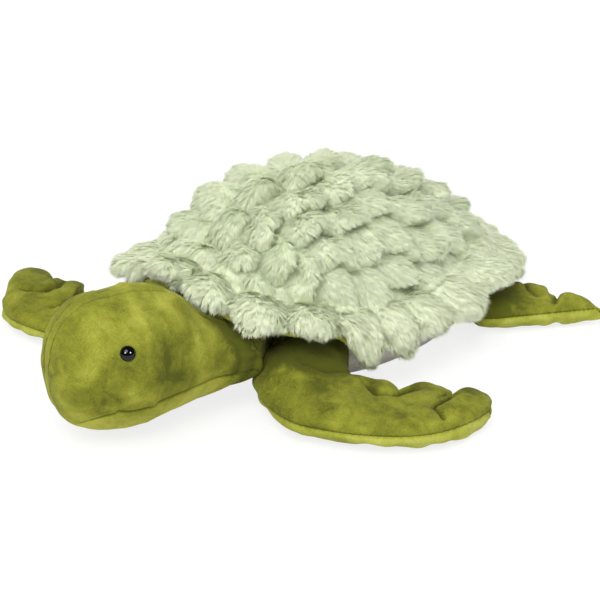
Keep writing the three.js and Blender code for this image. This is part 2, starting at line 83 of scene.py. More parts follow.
def sew(name, points, around=False, poles=(False, False), inside=None, nap=None):
    """A mesh from a grid of points in mm, rows by columns. around: the last column joins the first.
    poles: the first or the last row closes to one point, its mean. inside: a point that the faces
    look away from, or else the middle of the grid. nap: how much lighter or darker the brushed pile
    looks at each point, for the way it lies and as painted light and painted shade, kept as an
    attribute for the velour."""
    rows, columns = points.shape[:2]
    index = np.arange(rows * columns).reshape(rows, columns)
    body = index[int(poles[0]):rows - int(poles[1])]
    left, right = (body, np.roll(body, -1, axis=1)) if around else (body[:, :-1], body[:, 1:])
    quads = np.stack([left[:-1], left[1:], right[1:], right[:-1]], axis=-1).reshape(-1, 4)
    corners = points.reshape(-1, 3).copy()
    faces, used = quads.tolist(), [quads.ravel()]
    for pole, row, order in ((poles[0], 0, 1), (poles[1], rows - 1, -1)):
        if pole:
            corners[index[row, 0]] = points[row].mean(axis=0)
            edge = (left[0], right[0]) if row == 0 else (left[-1], right[-1])
            fan = np.stack([np.full(len(edge[0]), index[row, 0]), *edge[::order]], axis=-1)
            faces += fan.tolist()
            used.append(index[row, :1])
    centre = corners.mean(axis=0) if inside is None else np.array(inside, dtype=float)
    a, b, c = (corners[quads[:, at]] for at in (0, 1, 2))
    if (np.cross(b - a, c - a) * (a - centre)).sum() < 0:
        faces = [face[::-1] for face in faces]
    used = np.unique(np.concatenate(used))
    place = np.zeros(rows * columns, dtype=int)
    place[used] = np.arange(len(used))
    mesh = bpy.data.meshes.new(name)
    mesh.from_pydata((corners[used] * MM).tolist(), [], [place[face].tolist() for face in faces])
    mesh.polygons.foreach_set("use_smooth", np.ones(len(mesh.polygons), dtype=bool))
    if nap is not None:
        values = (nap + 0 * points[..., 0]).astype(np.float32).ravel()[used]
        mesh.attributes.new("nap", "FLOAT", "POINT").data.foreach_set("value", values)
    print(name, len(mesh.vertices), "points")
    return put(name, mesh)


def settle(piece, finish, slot, body, *nodes, fill=None):
    """Gives a piece its finish and the body that carries it, and hides the CAD nodes that it stands
    for. slot, the record's slot for it, is not used. fill, how tight a stuffed piece is from 0 to
    1, is not used."""
    piece.data.materials.append(finish)
    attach(piece, body)
    if nodes:
        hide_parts(*nodes)


# %% Directions, seams and slow swells of a surface
def unit(vectors):
    """Vectors of length 1."""
    return vectors / np.maximum(np.linalg.norm(vectors, axis=-1, keepdims=True), 1e-9)


def outward(points, around=False, inside=None):
    """Unit normals of a grid: the cross product of its two directions, turned away from a point
    inside. A pole's own row takes the normals of the row beside it."""
    down = np.gradient(points, axis=0)
    if around:
        across = (np.roll(points, -1, axis=1) - np.roll(points, 1, axis=1)) / 2
    else:
        across = np.gradient(points, axis=1)
    normal = np.cross(down, across)
    size = np.linalg.norm(normal, axis=-1, keepdims=True)
    normal = unit(normal)
    for row, beside in ((0, 1), (-1, -2)):
        if size[row].max() < 1e-3:
            normal[row] = normal[beside]
    centre = points.mean(axis=(0, 1)) if inside is None else np.array(inside, dtype=float)
    return normal * (1 if (normal * (points - centre)).sum() > 0 else -1)


def seam_distance(points, line):
    """Each point's distance in mm to the nearest stretch of a line of points."""
    best = np.full(points.shape[:-1], np.inf)
    for start, end in zip(line[:-1], line[1:]):
        way = end - start
        along = ((points - start) @ way / max(way @ way, 1e-9)).clip(0, 1)
        best = np.minimum(best, np.linalg.norm(points - start - along[..., None] * way, axis=-1))
    return best


def swells(points, size, seed):
    """Slow random ups and downs between about -1 and 1: the sum of 12 sine waves that run in random
    directions, each about size mm long."""
    waves = 12
    rng = np.random.default_rng(seed)
    ways = unit(rng.normal(size=(waves, 3)))
    ways /= size * rng.uniform(0.7, 1.5, (waves, 1))
    total = np.sin(points @ ways.T * 2 * np.pi + rng.uniform(0, 6.28, waves)).sum(axis=-1)
    return total / (waves / 2) ** 0.5 / 1.6


# %% Curves of one number
def smooth_rows(table, count):
    """A smooth curve through the rows of a table, at count even places: the Catmull-Rom spline,
    whose slope at a row is half the way between its two neighbours."""
    table = np.array(table, dtype=float)
    padded = np.vstack([2 * table[0] - table[1], table, 2 * table[-1] - table[-2]])
    place = np.linspace(0, len(table) - 1, count)
    row = np.minimum(place.astype(int), len(table) - 2)
    t = (place - row)[:, None]
    p0, p1, p2, p3 = (padded[row + at] for at in range(4))
    return 0.5 * (2 * p1 + (p2 - p0) * t + (2 * p0 - 5 * p1 + 4 * p2 - p3) * t ** 2
                  + (3 * p1 - p0 - 3 * p2 + p3) * t ** 3)


def ease(value, start, end):
    """0 before start, 1 after end, and a smooth step between: 3t^2 - 2t^3."""
    t = ((value - start) / (end - start)).clip(0, 1)
    return t * t * (3 - 2 * t)


def bump(value, at, wide):
    """1 at one value, and fading away on both sides of it: exp(-((value - at) / wide)^2)."""
    return np.exp(-((value - at) / wide) ** 2)


def all_round(count):
    """Even angles all the way round, in one row."""
    return np.linspace(0, 2 * np.pi, count, endpoint=False)[None, :]


# %% [markdown]
# ## Finishes
# A material is a small tree of nodes. `linear` turns the colour of a paint chart into the light
# that Blender mixes, and `add` adds one node with its settings and its links.

# %% Colours and nodes
def linear(code):
    """An sRGB hex colour as linear light: ((c + 0.055) / 1.055) ^ 2.4, and c / 12.92 when dark."""
    parts = [int(code[at:at + 2], 16) / 255 for at in (1, 3, 5)]
    return [c / 12.92 if c <= 0.04045 else ((c + 0.055) / 1.055) ** 2.4 for c in parts] + [1.0]


def add(tree, kind, settings, links=()):
    """Adds one node. A setting is an input by name or number, or an option of the node. Stops are a
    colour ramp's places and colours. A link joins an input to an output, or to a node's first
    one."""
    node = tree.nodes.new("ShaderNode" + kind)
    for key, value in settings.items():
        if key == "stops":
            while len(node.color_ramp.elements) < len(value):
                node.color_ramp.elements.new(1)
            for element, (place, colour) in zip(node.color_ramp.elements, value):
                element.position, element.color = place, linear(colour)
        elif isinstance(key, int) or key in node.inputs:
            node.inputs[key].default_value = value
        else:
            setattr(node, key, value)
    for key, source in dict(links).items():
        output = source.outputs[0] if isinstance(source, bpy.types.Node) else source
        tree.links.new(output, node.inputs[key])
    return node


def new_finish(name):
    """An empty material, and its node tree."""
    finish = bpy.data.materials.new(name)
    finish.use_nodes = True
    finish.node_tree.nodes.clear()
    return finish, finish.node_tree


# %% [markdown]
# ### Velour
# Velour is a knit with a short dense pile, cut level and brushed. Where a hand has brushed the pile
# the other way it looks darker or lighter, so it has soft cloudy patches a few centimetres wide,
# smaller ones of about a centimetre, and a fine grain. It shines only faintly, along its edges. The
# grain of a real velour is about 0.3 mm, too fine to show here, so it is drawn at 1.2 mm.

# %% Velour finish
def velour(name, dark, middle, light, sheen):
    """Brushed cut pile: clouds of 40 mm, patches of 10 mm and a grain of 1.2 mm are added up to one
    shade that picks the colour. A piece's own attribute for its pile makes it darker or lighter
    where that is set, for the way the pile lies and as painted light and painted shade."""
    finish, tree = new_finish(name)
    place = {"Vector": add(tree, "TexCoord", {}).outputs["Object"]}
    clouds = add(tree, "TexNoise", {
        "Scale": 1 / 0.040, "Detail": 2.5, "Roughness": 0.55, "Distortion": 0.6}, place)
    brushed = add(tree, "TexNoise", {
        "Scale": 1 / 0.010, "Detail": 3.0, "Roughness": 0.6, "Distortion": 0.9}, place)
    grain = add(tree, "TexNoise", {"Scale": 1 / 0.0012, "Detail": 2.0, "Roughness": 0.7}, place)
    # The piece's own attribute holds the way its pile lies, with painted light and painted shade.
    nap = add(tree, "Attribute", {"attribute_name": "nap"})
    shade = add(tree, "Math", {"operation": "MULTIPLY_ADD", 1: 1.25, 2: -0.64}, {0: clouds})
    for layer, share in ((brushed, 0.5), (grain, 0.5), (nap.outputs["Fac"], 0.32)):
        shade = add(tree, "Math", {"operation": "MULTIPLY_ADD", 1: share}, {0: layer, 2: shade})
    colour = add(tree, "ValToRGB", {"stops": [(0.12, dark), (0.5, middle), (0.88, light)]},
                 {"Fac": shade})
    dents = add(tree, "Bump", {"Strength": 0.35, "Distance": 0.0016}, {"Height": brushed})
    pile = add(tree, "Bump", {"Strength": 0.45, "Distance": 0.0006},
               {"Height": grain, "Normal": dents})
    surface = add(tree, "BsdfPrincipled", {
        "Roughness": 0.92, "Specular IOR Level": 0.18,
        "Sheen Weight": 0.25, "Sheen Roughness": 0.45, "Sheen Tint": linear(sheen),
    }, {"Base Color": colour, "Normal": pile})
    add(tree, "OutputMaterial", {}, {"Surface": surface})
    return finish


olive_velour = velour("olive velour", "#55590F", "#8A8D29", "#B6B64C", "#CFCF7C")
# Painted light: a lighter copy of the olive velour, for the brim's lining and the flippers' lower
# panels, which lie in shade; on the lower panels the pile also lies the lighter way.
pale_velour_painted_light = velour("olive velour, lighter pile and painted light",
                     "#808320", "#A0A43A", "#C2C45E", "#DADB96")
# Painted shade: a darker copy of the olive velour, for the side band and the neck, which lie in the
# shell's shade.
velour_painted_shade = velour("olive velour with painted shade", "#3F410C", "#666A1C", "#8A8C38", "#A8A960")

# %% [markdown]
# ### Belly plush and plastic
# The belly is an off-white plush with a soft short nap. The eye is a moulded acrylic dome, black
# all through and polished, so all that shows of it is its gloss. The washer that locks it on from
# the inside is plain white nylon.

# %% Belly, eye and washer finishes
def short_nap(name, dark, light, size, depth):
    """A soft short nap: fine noise, its grain of a size in metres, for its colour and its bumps."""
    finish, tree = new_finish(name)
    place = {"Vector": add(tree, "TexCoord", {}).outputs["Object"]}
    fine = add(tree, "TexNoise", {"Scale": 1 / size, "Detail": 4.0, "Roughness": 0.65}, place)
    colour = add(tree, "ValToRGB", {"stops": [(0.3, dark), (0.7, light)]}, {"Fac": fine})
    bumps = add(tree, "Bump", {"Strength": 0.6, "Distance": depth}, {"Height": fine})
    surface = add(tree, "BsdfPrincipled", {
        "Roughness": 0.95, "Specular IOR Level": 0.15, "Sheen Weight": 0.3, "Sheen Roughness": 0.5,
    }, {"Base Color": colour, "Normal": bumps})
    add(tree, "OutputMaterial", {}, {"Surface": surface})
    return finish


def moulded(name, colour, rough, mottle):
    """Moulded plastic: one colour all through, with a faint unevenness in its polish."""
    finish, tree = new_finish(name)
    place = {"Vector": add(tree, "TexCoord", {}).outputs["Object"]}
    haze = add(tree, "TexNoise", {"Scale": 1 / 0.003, "Detail": 2.0}, place)
    polish = add(tree, "MapRange", {"To Min": rough, "To Max": rough + mottle}, {"Value": haze})
    surface = add(tree, "BsdfPrincipled", {"Base Color": linear(colour), "IOR": 1.45},
                  {"Roughness": polish})
    add(tree, "OutputMaterial", {}, {"Surface": surface})
    return finish


belly_plush = short_nap("off-white short plush", "#CFC9C0", "#F1EEE6", 0.0022, 0.0012)
eye_acrylic = moulded("polished black acrylic", "#050506", 0.03, 0.03)
washer_nylon = moulded("natural white nylon", "#E6E6E2", 0.45, 0.1)

# %% [markdown]
# ### Long pile fur
# The shell is a long soft pile in pale mint, on a knitted backing. A hair is lighter towards its
# tip, because the tips catch the light and the roots lie in each other's shade. Each strand has its
# own place on a small map: across it goes its tone, from cool and deep to warm and pale, with
# painted light on the brim and painted shade along the quilting stitches, and up it goes the way
# from root to tip. The material reads only that map.

# %% Fur finishes
fur_pile, tree = new_finish("mint long pile")
strand = add(tree, "SeparateXYZ", {}, {"Vector": add(tree, "UVMap", {"uv_map": "OFBake"})})
deep, pale = (
    add(tree, "ValToRGB", {"stops": list(zip((0.0, 0.35, 1.0), colours))},
        {"Fac": strand.outputs["Y"]})
    for colours in (("#AEBF92", "#D1E0B5", "#E2EFC8"), ("#D3DEB4", "#F4FDD8", "#FCFFEA")))
mixed = add(tree, "Mix", {"data_type": "RGBA"}, {0: strand.outputs["X"], 6: deep, 7: pale})
hair = add(tree, "BsdfPrincipled", {
    "Roughness": 0.75, "Specular IOR Level": 0.2, "Sheen Weight": 0.25, "Sheen Roughness": 0.5,
    "Sheen Tint": linear("#E8F2DC")}, {"Base Color": mixed.outputs[2]})
add(tree, "OutputMaterial", {}, {"Surface": hair})
fur_backing = short_nap("mint pile, down at its roots", "#CBD9B2", "#E4EECF", 0.0016, 0.0015)
print(len(bpy.data.materials), "materials")

# %% [markdown]
# ## Shell
# The shell is one piece of long-pile fur, quilted: it is stitched into staggered tiles like bricks,
# and each tile puffs up between its stitches. The edge isn't caught down but ends in round lobes, a
# loose brim. It could be a plain dome with a bumpy texture, but then its outline would be smooth.
# So it is a fine grid over the dome, raised tile by tile, and then covered with real strands.

# %% The dome under the pile
shell_length, shell_width, shell_height = 394, 280, 159
# Height of the brim's lower edge at the sides, and how much higher it lies at the front and the
# rear
brim_side, front_lift, rear_lift = 26, 62, 11
# Depth of the padded cover at the dome's foot and at the brim, and the share at which the brim
# starts
cover_depth, brim_depth, brim_share = 14, 14, 0.77
# Height of the dome's foot at the sides, and how much of the brim's rise it follows
dome_foot, foot_follow = 56, 0.47
# How far the whole shell lies towards the head, and how much further its crown does
shell_forward, crown_forward = 5, 32


def plan(angle, width, length):
    """The egg-shaped plan of body and shell: reach = (|cos|^2.3 + |sin|^2.3)^(-1/2.3), and x is
    drawn in by 12% towards the tail."""
    power = 2.3
    across, along = np.cos(angle), np.sin(angle)
    reach = (np.abs(across) ** power + np.abs(along) ** power) ** (-1 / power)
    return across * reach * (1 - 0.12 * along * reach) * width / 2, along * reach * length / 2


def brim_height(angle):
    """Height of the brim's lower edge: low at the sides, over the neck at the front."""
    along = np.sin(angle)
    return brim_side + np.where(along < 0, front_lift * along ** 2, rear_lift * along)


# How much higher than that the toy carries its brim, as degrees from its left side and mm. The brim
# is pushed up over the neck and the near shoulder, one lobe hangs down behind that flipper, and
# further back it is folded up again, over the rear flipper.
carried = smooth_rows([
    (-195, 4), (-165, 4), (-140, 3), (-120, 2), (-108, 0), (-101, 2), (-94, 12), (-86, 15),
    (-80, 12), (-73, 6), (-66, 6), (-60, 3), (-55, 5), (-50, 9), (-44, 13), (-38, 16), (-33, 18),
    (-29, 8), (-25, 2), (-20, 9), (-14, 4), (-8, 12), (-2, 12), (5, 13), (12, 9), (17, 7),
    (22, 15), (28, 18), (35, 13), (43, 6), (52, 3), (65, 2), (85, 2), (110, 3), (135, 4), (165, 4),
], 600)


def brim_edge(angle):
    """Height of the brim's lower edge as the toy carries it."""
    turns = (np.degrees(angle) + 195) % 360 - 195
    return brim_height(angle) + np.interp(turns, carried[:, 0], carried[:, 1])


def towards(angle, at, wide):
    """A bump round one direction, in degrees."""
    return bump((np.degrees(angle) - at + 180) % 360 - 180, 0, wide)


def shell_place(share, angle, height):
    """A point at a share of the way out from the crown, which leans towards the head."""
    x, y = plan(angle, shell_width * share, shell_length * share)
    y = y - shell_forward - crown_forward * np.maximum(0, 1 - share)
    return np.stack([x, y, height + 0 * x], axis=-1)


def dome_height(share, angle):
    """Height of the dome: foot + (top - foot) * (1 - (share / brim's share)^2)^0.77, and straight
    down the brim. The stuffing has settled a little. At the front right the flank is fuller by 5 mm
    over a brim 6 mm lower, and at the rear left it stands up by 9 mm behind one 10 mm lower."""
    foot = dome_foot + foot_follow * (brim_height(angle) - brim_side) + cover_depth
    edge = brim_edge(angle) + brim_depth
    rise = np.maximum(0, 1 - (share / brim_share) ** 2) ** 0.77
    slope = (share - brim_share) / (1 - brim_share)
    height = np.where(share < brim_share, foot + (shell_height - foot) * rise,
                      foot + (edge - foot) * slope)
    height = height + 5 * towards(angle, -132, 50) * bump(share, 0.5, 0.28)
    height = height - 6 * towards(angle, -120, 40) * ease(share, 0.75, 0.95)
    rear_left = towards(angle, 62, 33)
    height = height + 9 * rear_left * bump(share, 0.755, 0.08)
    return height - 10 * rear_left * ease(share, 0.80, 0.87)


# %% Lobes of the brim
# Where the lobes stand round the brim, in degrees from the turtle's left side, and how far each
# hangs down and reaches out in mm. One at the left hangs lowest, and a deep valley follows it.
lobe_angles = np.array([-101, -87.5, -73, -55.5, -39, -25.5, -13, -2, 12, 31, 42, 54, 68, 82, 96,
                        110, 124, 139, 154, 169, 184, 199, 214, 229, 244])
lobe_hang = np.array([9, 4, 3, 4, 3, 11, 7, 2, 4, 3, 3, 2, 2, 2, 2, 2, 3, 3, 4, 4, 5, 4, 4, 3, 3])
lobe_out = np.array([1, 1, 2, 2, 1, 4, 1, 1, 2, 2, 2, 2, 1, 1, 1, 1, 1, 1, 1, 1, 1, 1, 1, 1, 1])


def lobes(angle):
    """(how full the lobe is here, from 0 in a notch to 1 in its middle, its hang, its reach). It is
    as full as |cos(pi * place)|^0.55, where place counts the lobes."""
    known = lobe_angles % 360
    order = np.argsort(known)
    spots = np.concatenate([known[order][-1:] - 360, known[order], known[order][:1] + 360])
    place = np.interp(np.degrees(angle) % 360, spots, np.arange(len(spots)))
    nearest = order[(np.round(place).astype(int) - 1) % len(order)]
    return np.abs(np.cos(np.pi * place)) ** 0.55, lobe_hang[nearest], lobe_out[nearest]


columns, dome_rows, roll_rows, dome_end = 440, 180, 30, 0.94
angle = all_round(columns)
share = np.linspace(0, dome_end, dome_rows)[:, None] + 0 * angle
full, hang, out = lobes(angle)
dome = shell_place(share, angle, dome_height(share, angle))
print("dome grid", dome.shape)

# %% [markdown]
# The brim's edge is thick and rolls under. Its section is a Bezier curve: it leaves the dome along
# its slope, goes round the outermost point, and ends under the brim, where the lining meets it.

# %% Rolled edge of the brim
t = np.linspace(0, 1, roll_rows + 1)[1:, None]
drop = hang * full
notch = (7.0 * (1 - full) - out * full) / (shell_width / 2)
lower_edge = brim_edge(angle)
bends = [
    (dome_end, dome_height(share[-1:], angle)),
    (0.985 - notch, dome_height(0.985 + 0 * angle, angle)),
    (1.025 - notch, lower_edge + 4 - drop),
    (0.935 - notch, lower_edge - 1 - drop),
    (0.90, lower_edge + 4),
]
weights = [times * t ** power * (1 - t) ** (4 - power)
           for power, times in enumerate((1, 4, 6, 4, 1))]
roll_share = sum(weight * bend[0] for weight, bend in zip(weights, bends))
roll_height = sum(weight * bend[1] for weight, bend in zip(weights, bends))
base = np.concatenate([dome, shell_place(roll_share, angle, roll_height)])
way_out = np.concatenate([share, dome_end + (1 - dome_end) * t + 0 * angle])
base_normal = outward(base, around=True, inside=(0, 0, 60))
print("with its rolled edge", base.shape)

# %% [markdown]
# ### Quilting
# The tiles are laid out on the flattened fabric: each point's way along the cloth from the crown,
# in the direction in which it lies. Rows run from head to tail, 33 mm wide, and tiles are 43 mm
# long. A tile rises slowly from its upper corner and falls off sharply at its lower and rear edges.

# %% Flattened cloth and its tiles
row_width, tile_length, tile_numbers = 33, 43, 997
step = np.linalg.norm(np.diff(base, axis=0), axis=-1)
cloth_way = np.concatenate([np.zeros((1, columns)), np.cumsum(step, axis=0)])
aim = np.arctan2(base[5, :, 1] - base[0, 0, 1], base[5, :, 0] - base[0, 0, 0])[None, :]
cloth_x, cloth_y = cloth_way * np.cos(aim), cloth_way * np.sin(aim)


def tiles(cloth_x, cloth_y):
    """(place across the tile, place along it, a number for each tile). Across counts from the
    uphill edge, along from the edge towards the head. The cloth is pulled out of true by up to
    5 mm, and along a row the seams step by 4.5 mm to the left and to the right in turn."""
    flat = np.stack([cloth_x, cloth_y, 0 * cloth_x], axis=-1)
    x = cloth_x + 4.5 * swells(flat, 95, 3)
    y = cloth_y + 5.0 * swells(flat, 80, 4)
    x = x + 4.5 * np.tanh(5 * np.sin(np.pi * y / tile_length))
    row = np.floor(x / row_width + 0.5)
    across = x / row_width + 0.5 - row
    across = np.where(row < 0, 1 - across, across)
    place = y / tile_length + 0.5 * (row % 2) + 0.13 * np.sin(row * 2.4)
    tile = np.floor(place)
    return across, place - tile, (row * 37 + tile * 101).astype(int) % tile_numbers


def puff(place, crest):
    """A bump from 0 at 0 up to 1 at its crest, as sin^1.1, and sharply down to 0 at 1, as
    cos^0.6."""
    up = np.sin(np.pi / 2 * (place / crest).clip(0, 1)) ** 1.1
    down = np.cos(np.pi / 2 * ((place - crest) / (1 - crest)).clip(0, 1)) ** 0.6
    return np.where(place < crest, up, down)


# %% The quilted cover
# Tiles stand 15.5 mm over their stitches, and lobes 13 mm over the crease behind the brim. The
# lobes start further in at the front, and stand higher there. The crown is smooth for the first few
# mm. The whole cover lies 3.5 mm low, which leaves room for the pile.
pile_room = 3.5
across, along, number = tiles(cloth_x, cloth_y)
uneven = np.random.default_rng(8).uniform(0.75, 1.2, tile_numbers)
tile_swell = puff(across, 0.80) * puff(along, 0.78) * uneven[number]
wider = 0.09 * towards(angle, -98, 42)
lobe_swell = full * puff(((way_out - 0.70 + wider) / (0.38 + wider)).clip(0, 1), 0.55)
on_brim = ease(way_out + wider, 0.76, 0.82)
relief = ((1 - on_brim) * (15.5 * tile_swell - 9.4)
          + on_brim * ((13.0 + 30 * wider) * lobe_swell - 7.5))
off_crown = ease(cloth_way, 3, 15)
relief = off_crown * relief + (1 - off_crown) * 2.0
relief += 1.2 * swells(base, 26, 5) * (way_out < 0.97)
raised = base_normal * (relief - pile_room)[..., None] * (1 - ease(way_out, 0.965, 1.0))[..., None]
outwards = unit(np.gradient(base, axis=0))
overhang = 4.0 * (tile_swell - 0.4) * off_crown * (1 - on_brim)
under = base + raised + outwards * overhang[..., None]
shell_quilt = sew("shell_quilt", under, around=True, poles=(True, False), inside=(0, 0, 60))
settle(shell_quilt, fur_backing, "long_pile_fur", "body", "shell_cover", fill=0.7)

# %% [markdown]
# ### Pile
# A strand is a narrow ribbon that tapers to a point, leaves the cloth at a slant and droops. The
# pile is combed down and outwards, it fans out within each tile, and strands stick together in
# tufts. Hair curves would do this too, but ribbons are plain mesh, which every other program can
# read.

# %% Where the strands grow
# A cell of the grid gets strands by its area, and none where the edge has turned in under the brim.
rng = np.random.default_rng(21)
full_count = 900_000
strand_count = full_count
quilt_normal = outward(under, around=True, inside=(0, 0, 60))
ahead = np.roll(under, -1, axis=1)
cell = np.linalg.norm(np.cross(under[1:] - under[:-1], ahead[:-1] - under[:-1]), axis=-1)
cell = cell * (way_out[:-1] < 0.991)
chances = (cell / cell.sum()).ravel()
picked = np.searchsorted(np.cumsum(chances), rng.random(strand_count)).clip(0, chances.size - 1)
row, column = picked // columns, picked % columns
u, v = rng.random((2, strand_count, 1))


def on_grid(values):
    """A grid's values at the strands' roots: the mean of the cell's corners, weighted by place."""
    values = values if values.ndim == 3 else values[..., None]
    beside = (column + 1) % columns
    top = values[row, column] * (1 - u) + values[row, beside] * u
    low = values[row + 1, column] * (1 - u) + values[row + 1, beside] * u
    return top * (1 - v) + low * v


root, grows = on_grid(under), unit(on_grid(quilt_normal))
smooth_up = unit(on_grid(base_normal))
cloth = np.concatenate([on_grid(cloth_x), on_grid(cloth_y)], axis=1)
near_brim = on_grid(on_brim)[:, 0]
off_brim = 1 - near_brim
print(strand_count, "strands on", round(cell.sum() / 100), "square cm")

# %% Tufts and locks
# Strands hold together in tufts of 5 mm, which lean and differ in tone and length, and within them
# in locks of 1.9 mm, which differ in tone and in how far they stand up.
tuft_size, tufts = 5.0, 8191
lock_size, locks = 1.9, 16381


def squares(size, first, second, count):
    """(the square of the cloth that each root is in, one of count numbers for it)."""
    square = np.floor(cloth / size).astype(int)
    return square, (square[:, 0] * first + square[:, 1] * second) % count


tuft, tuft_id = squares(tuft_size, 7919, 104729, tufts)
tuft_lean = rng.normal(size=(tufts, 2))
tuft_tone, tuft_long = rng.random(tufts), rng.uniform(0.85, 1.15, tufts)
tuft_spot = rng.uniform(0.25, 0.75, (tufts, 2))
_, lock_id = squares(lock_size, 6151, 98317, locks)
lock_tone, lock_lift = rng.uniform(-1, 1, locks), rng.uniform(0.06, 0.46, locks)


# %% How the strands lie
def level_with(direction, normal):
    """A direction laid flat on the surface: direction - normal * (normal . direction)."""
    return direction - normal * (direction * normal).sum(axis=-1, keepdims=True)


to_left = unit(level_with(np.array([[1.0, 0, 0]]), grows))
to_tail = unit(level_with(np.array([[0, 1.0, 0]]), grows))
downhill = level_with(np.array([[0, 0, -1.0]]), grows)
out_way = cloth / np.maximum(np.linalg.norm(cloth, axis=1, keepdims=True), 30)
tile_across, tile_along, _ = tiles(cloth[:, 0], cloth[:, 1])
fan_x = (tile_across - 0.35) * np.where(cloth[:, 0] < 0, -1, 1)
fan_y = tile_along - 0.4
flat_x = 0.75 * out_way[:, 0] + 1.1 * fan_x * off_brim + 0.16 * tuft_lean[tuft_id, 0]
flat_y = 0.75 * out_way[:, 1] + 1.0 * fan_y * off_brim + 0.16 * tuft_lean[tuft_id, 1]
flat_y += 0.35 * off_brim * (cloth[:, 1] > -80)
jitter = rng.normal(size=(strand_count, 3)) * 0.12
comb = flat_x[:, None] * to_left + flat_y[:, None] * to_tail + 0.9 * downhill + jitter
comb = unit(level_with(comb, grows))
length = rng.uniform(6.5, 9.0, strand_count) * tuft_long[tuft_id] * (1 + 0.15 * near_brim)
width = rng.uniform(0.55, 0.95, strand_count) * (full_count / strand_count) ** 0.5
at_stitch = off_brim * np.maximum.reduce([np.exp(-from_edge / wide) for from_edge, wide in (
    (1 - tile_across, 0.07), (1 - tile_along, 0.07), (tile_across, 0.05), (tile_along, 0.05))])
at_stitch = at_stitch * ease(np.linalg.norm(cloth, axis=1), 5, 15)
length = length * (1 - 0.45 * at_stitch)
gather = (tuft + tuft_spot[tuft_id]) * tuft_size - cloth
gather = gather[:, :1] * to_left + gather[:, 1:] * to_tail
print("strand length", round(length.mean(), 1), "mm")

# %% Strands as blades
# A blade has two corners at its root and one at its tip, which droops by 0.8 mm. Its normals are
# mostly those of the cloth, so that the pile is lit as one soft surface.
lift = (lock_lift[lock_id] + rng.uniform(-0.05, 0.05, strand_count))[:, None]
twist = rng.normal(0, 0.35, strand_count)[:, None]
side = unit(np.cross(comb, grows))
half_side = (side * np.cos(twist) + grows * np.sin(twist)) * (width[:, None] / 2)
tip = (root + comb * length[:, None] + grows * (length[:, None] * lift) + gather * 0.35
       - np.array([[0, 0, 0.8]]))
strand_points = np.stack([root - half_side, root + half_side, tip], axis=1)
strand_points[..., 2] = np.maximum(strand_points[..., 2], 1.5)
soft_up = unit(0.8 * grows + 0.2 * smooth_up + np.outer(0.4 * near_brim, [0, 0, 1.0]))
bent_at_tip = np.array([0.0, 0.0, 0.3])[None, :, None] * comb[:, None]
strand_normals = unit(soft_up[:, None] + bent_at_tip
                      + 0.10 * rng.normal(size=(strand_count, 1, 3)))
patches = 0.5 + 0.5 * swells(root, 60, 9)
# The tone is random by patch, tuft and lock, with painted light on the brim, which faces sideways
# and down, and painted shade along the stitches between the tiles.
tone_and_shading = (0.52 + 0.30 * near_brim + 0.24 * patches + 0.22 * (tuft_tone[tuft_id] - 0.3)
        + 0.27 * lock_tone[lock_id] + 0.08 * rng.normal(size=strand_count))
tone_and_shading = (tone_and_shading - 0.55 * at_stitch).clip(0.02, 0.98)
print("blades", strand_points.shape)

# %% The pile in eight pieces, side by side round the shell
pieces_of_pile = 8
corner_way = np.array([0.02, 0.02, 0.98])
turned = np.argsort(np.arctan2(root[:, 1], root[:, 0]))
for part, chosen in enumerate(np.array_split(turned, pieces_of_pile), start=1):
    count = len(chosen)
    mesh = bpy.data.meshes.new(f"shell_pile_{part}")
    mesh.vertices.add(count * 3)
    mesh.vertices.foreach_set("co", (strand_points[chosen] * MM).astype(np.float32).ravel())
    mesh.loops.add(count * 3)
    mesh.loops.foreach_set("vertex_index", np.arange(count * 3, dtype=np.int32))
    mesh.polygons.add(count)
    mesh.polygons.foreach_set("loop_start", np.arange(0, count * 3, 3, dtype=np.int32))
    mesh.polygons.foreach_set("use_smooth", np.ones(count, dtype=bool))
    mesh.update(calc_edges=True)
    across_map = np.repeat(tone_and_shading[chosen][:, None], 3, axis=1)
    up_map = np.repeat(corner_way[None], count, axis=0)
    mesh.uv_layers.new(name="OFBake").data.foreach_set(
        "uv", np.stack([across_map, up_map], axis=-1).astype(np.float32).ravel())
    mesh.normals_split_custom_set_from_vertices(strand_normals[chosen].reshape(-1, 3))
    settle(put(f"shell_pile_{part}", mesh), fur_pile, "long_pile_fur", "body")
print(pieces_of_pile, "pieces of", count, "blades each")

# %% [markdown]
# ### Lining of the brim
# Under the brim there is a lining of the same olive velour as the head. It peeps out between the
# lobes as a thin rolled edge, so it reaches a little further out there, and most of all over the
# head.

# %% Lining
foot_share, lining_start = 0.699, 0.705


def inner_height(share, angle):
    """Height of the shell's inner face, from the dome's foot to the brim."""
    foot = dome_foot + foot_follow * (brim_height(angle) - brim_side)
    return foot + (brim_edge(angle) - foot) * (share - foot_share) / (1 - foot_share)


lining_angle = all_round(360)
over_head = towards(lining_angle, -91, 8)
lining_reach = (0.945 + 0.012 * (1 - lobes(lining_angle)[0]) + 0.006 * np.sin(lining_angle * 9)
                + 0.045 * over_head)
# The lining's section: shares of its reach, and heights in mm
section = smooth_rows([
    (0, 0), (0.35, 0), (0.7, 0), (0.9, -0.4), (0.97, -1.4), (1, -3), (0.985, -4.8), (0.94, -5.8),
    (0.85, -6.2), (0.6, -5.6), (0.3, -5), (0, -4.6)], 46)[:, :, None]
lining_share = lining_start + (lining_reach - lining_start) * section[:, 0]
lining_height = inner_height(lining_share, lining_angle) - 0.6 + section[:, 1]
lining_height = lining_height - 6 * over_head * ease(lining_share, 0.85, 0.95)
lining = shell_place(lining_share, lining_angle, lining_height)
lining[..., 2] += 0.8 * swells(lining, 30, 14) * (lining_share > 0.85)
rim_lining = sew("rim_lining_roll", lining, around=True, inside=(0, 0, 400))
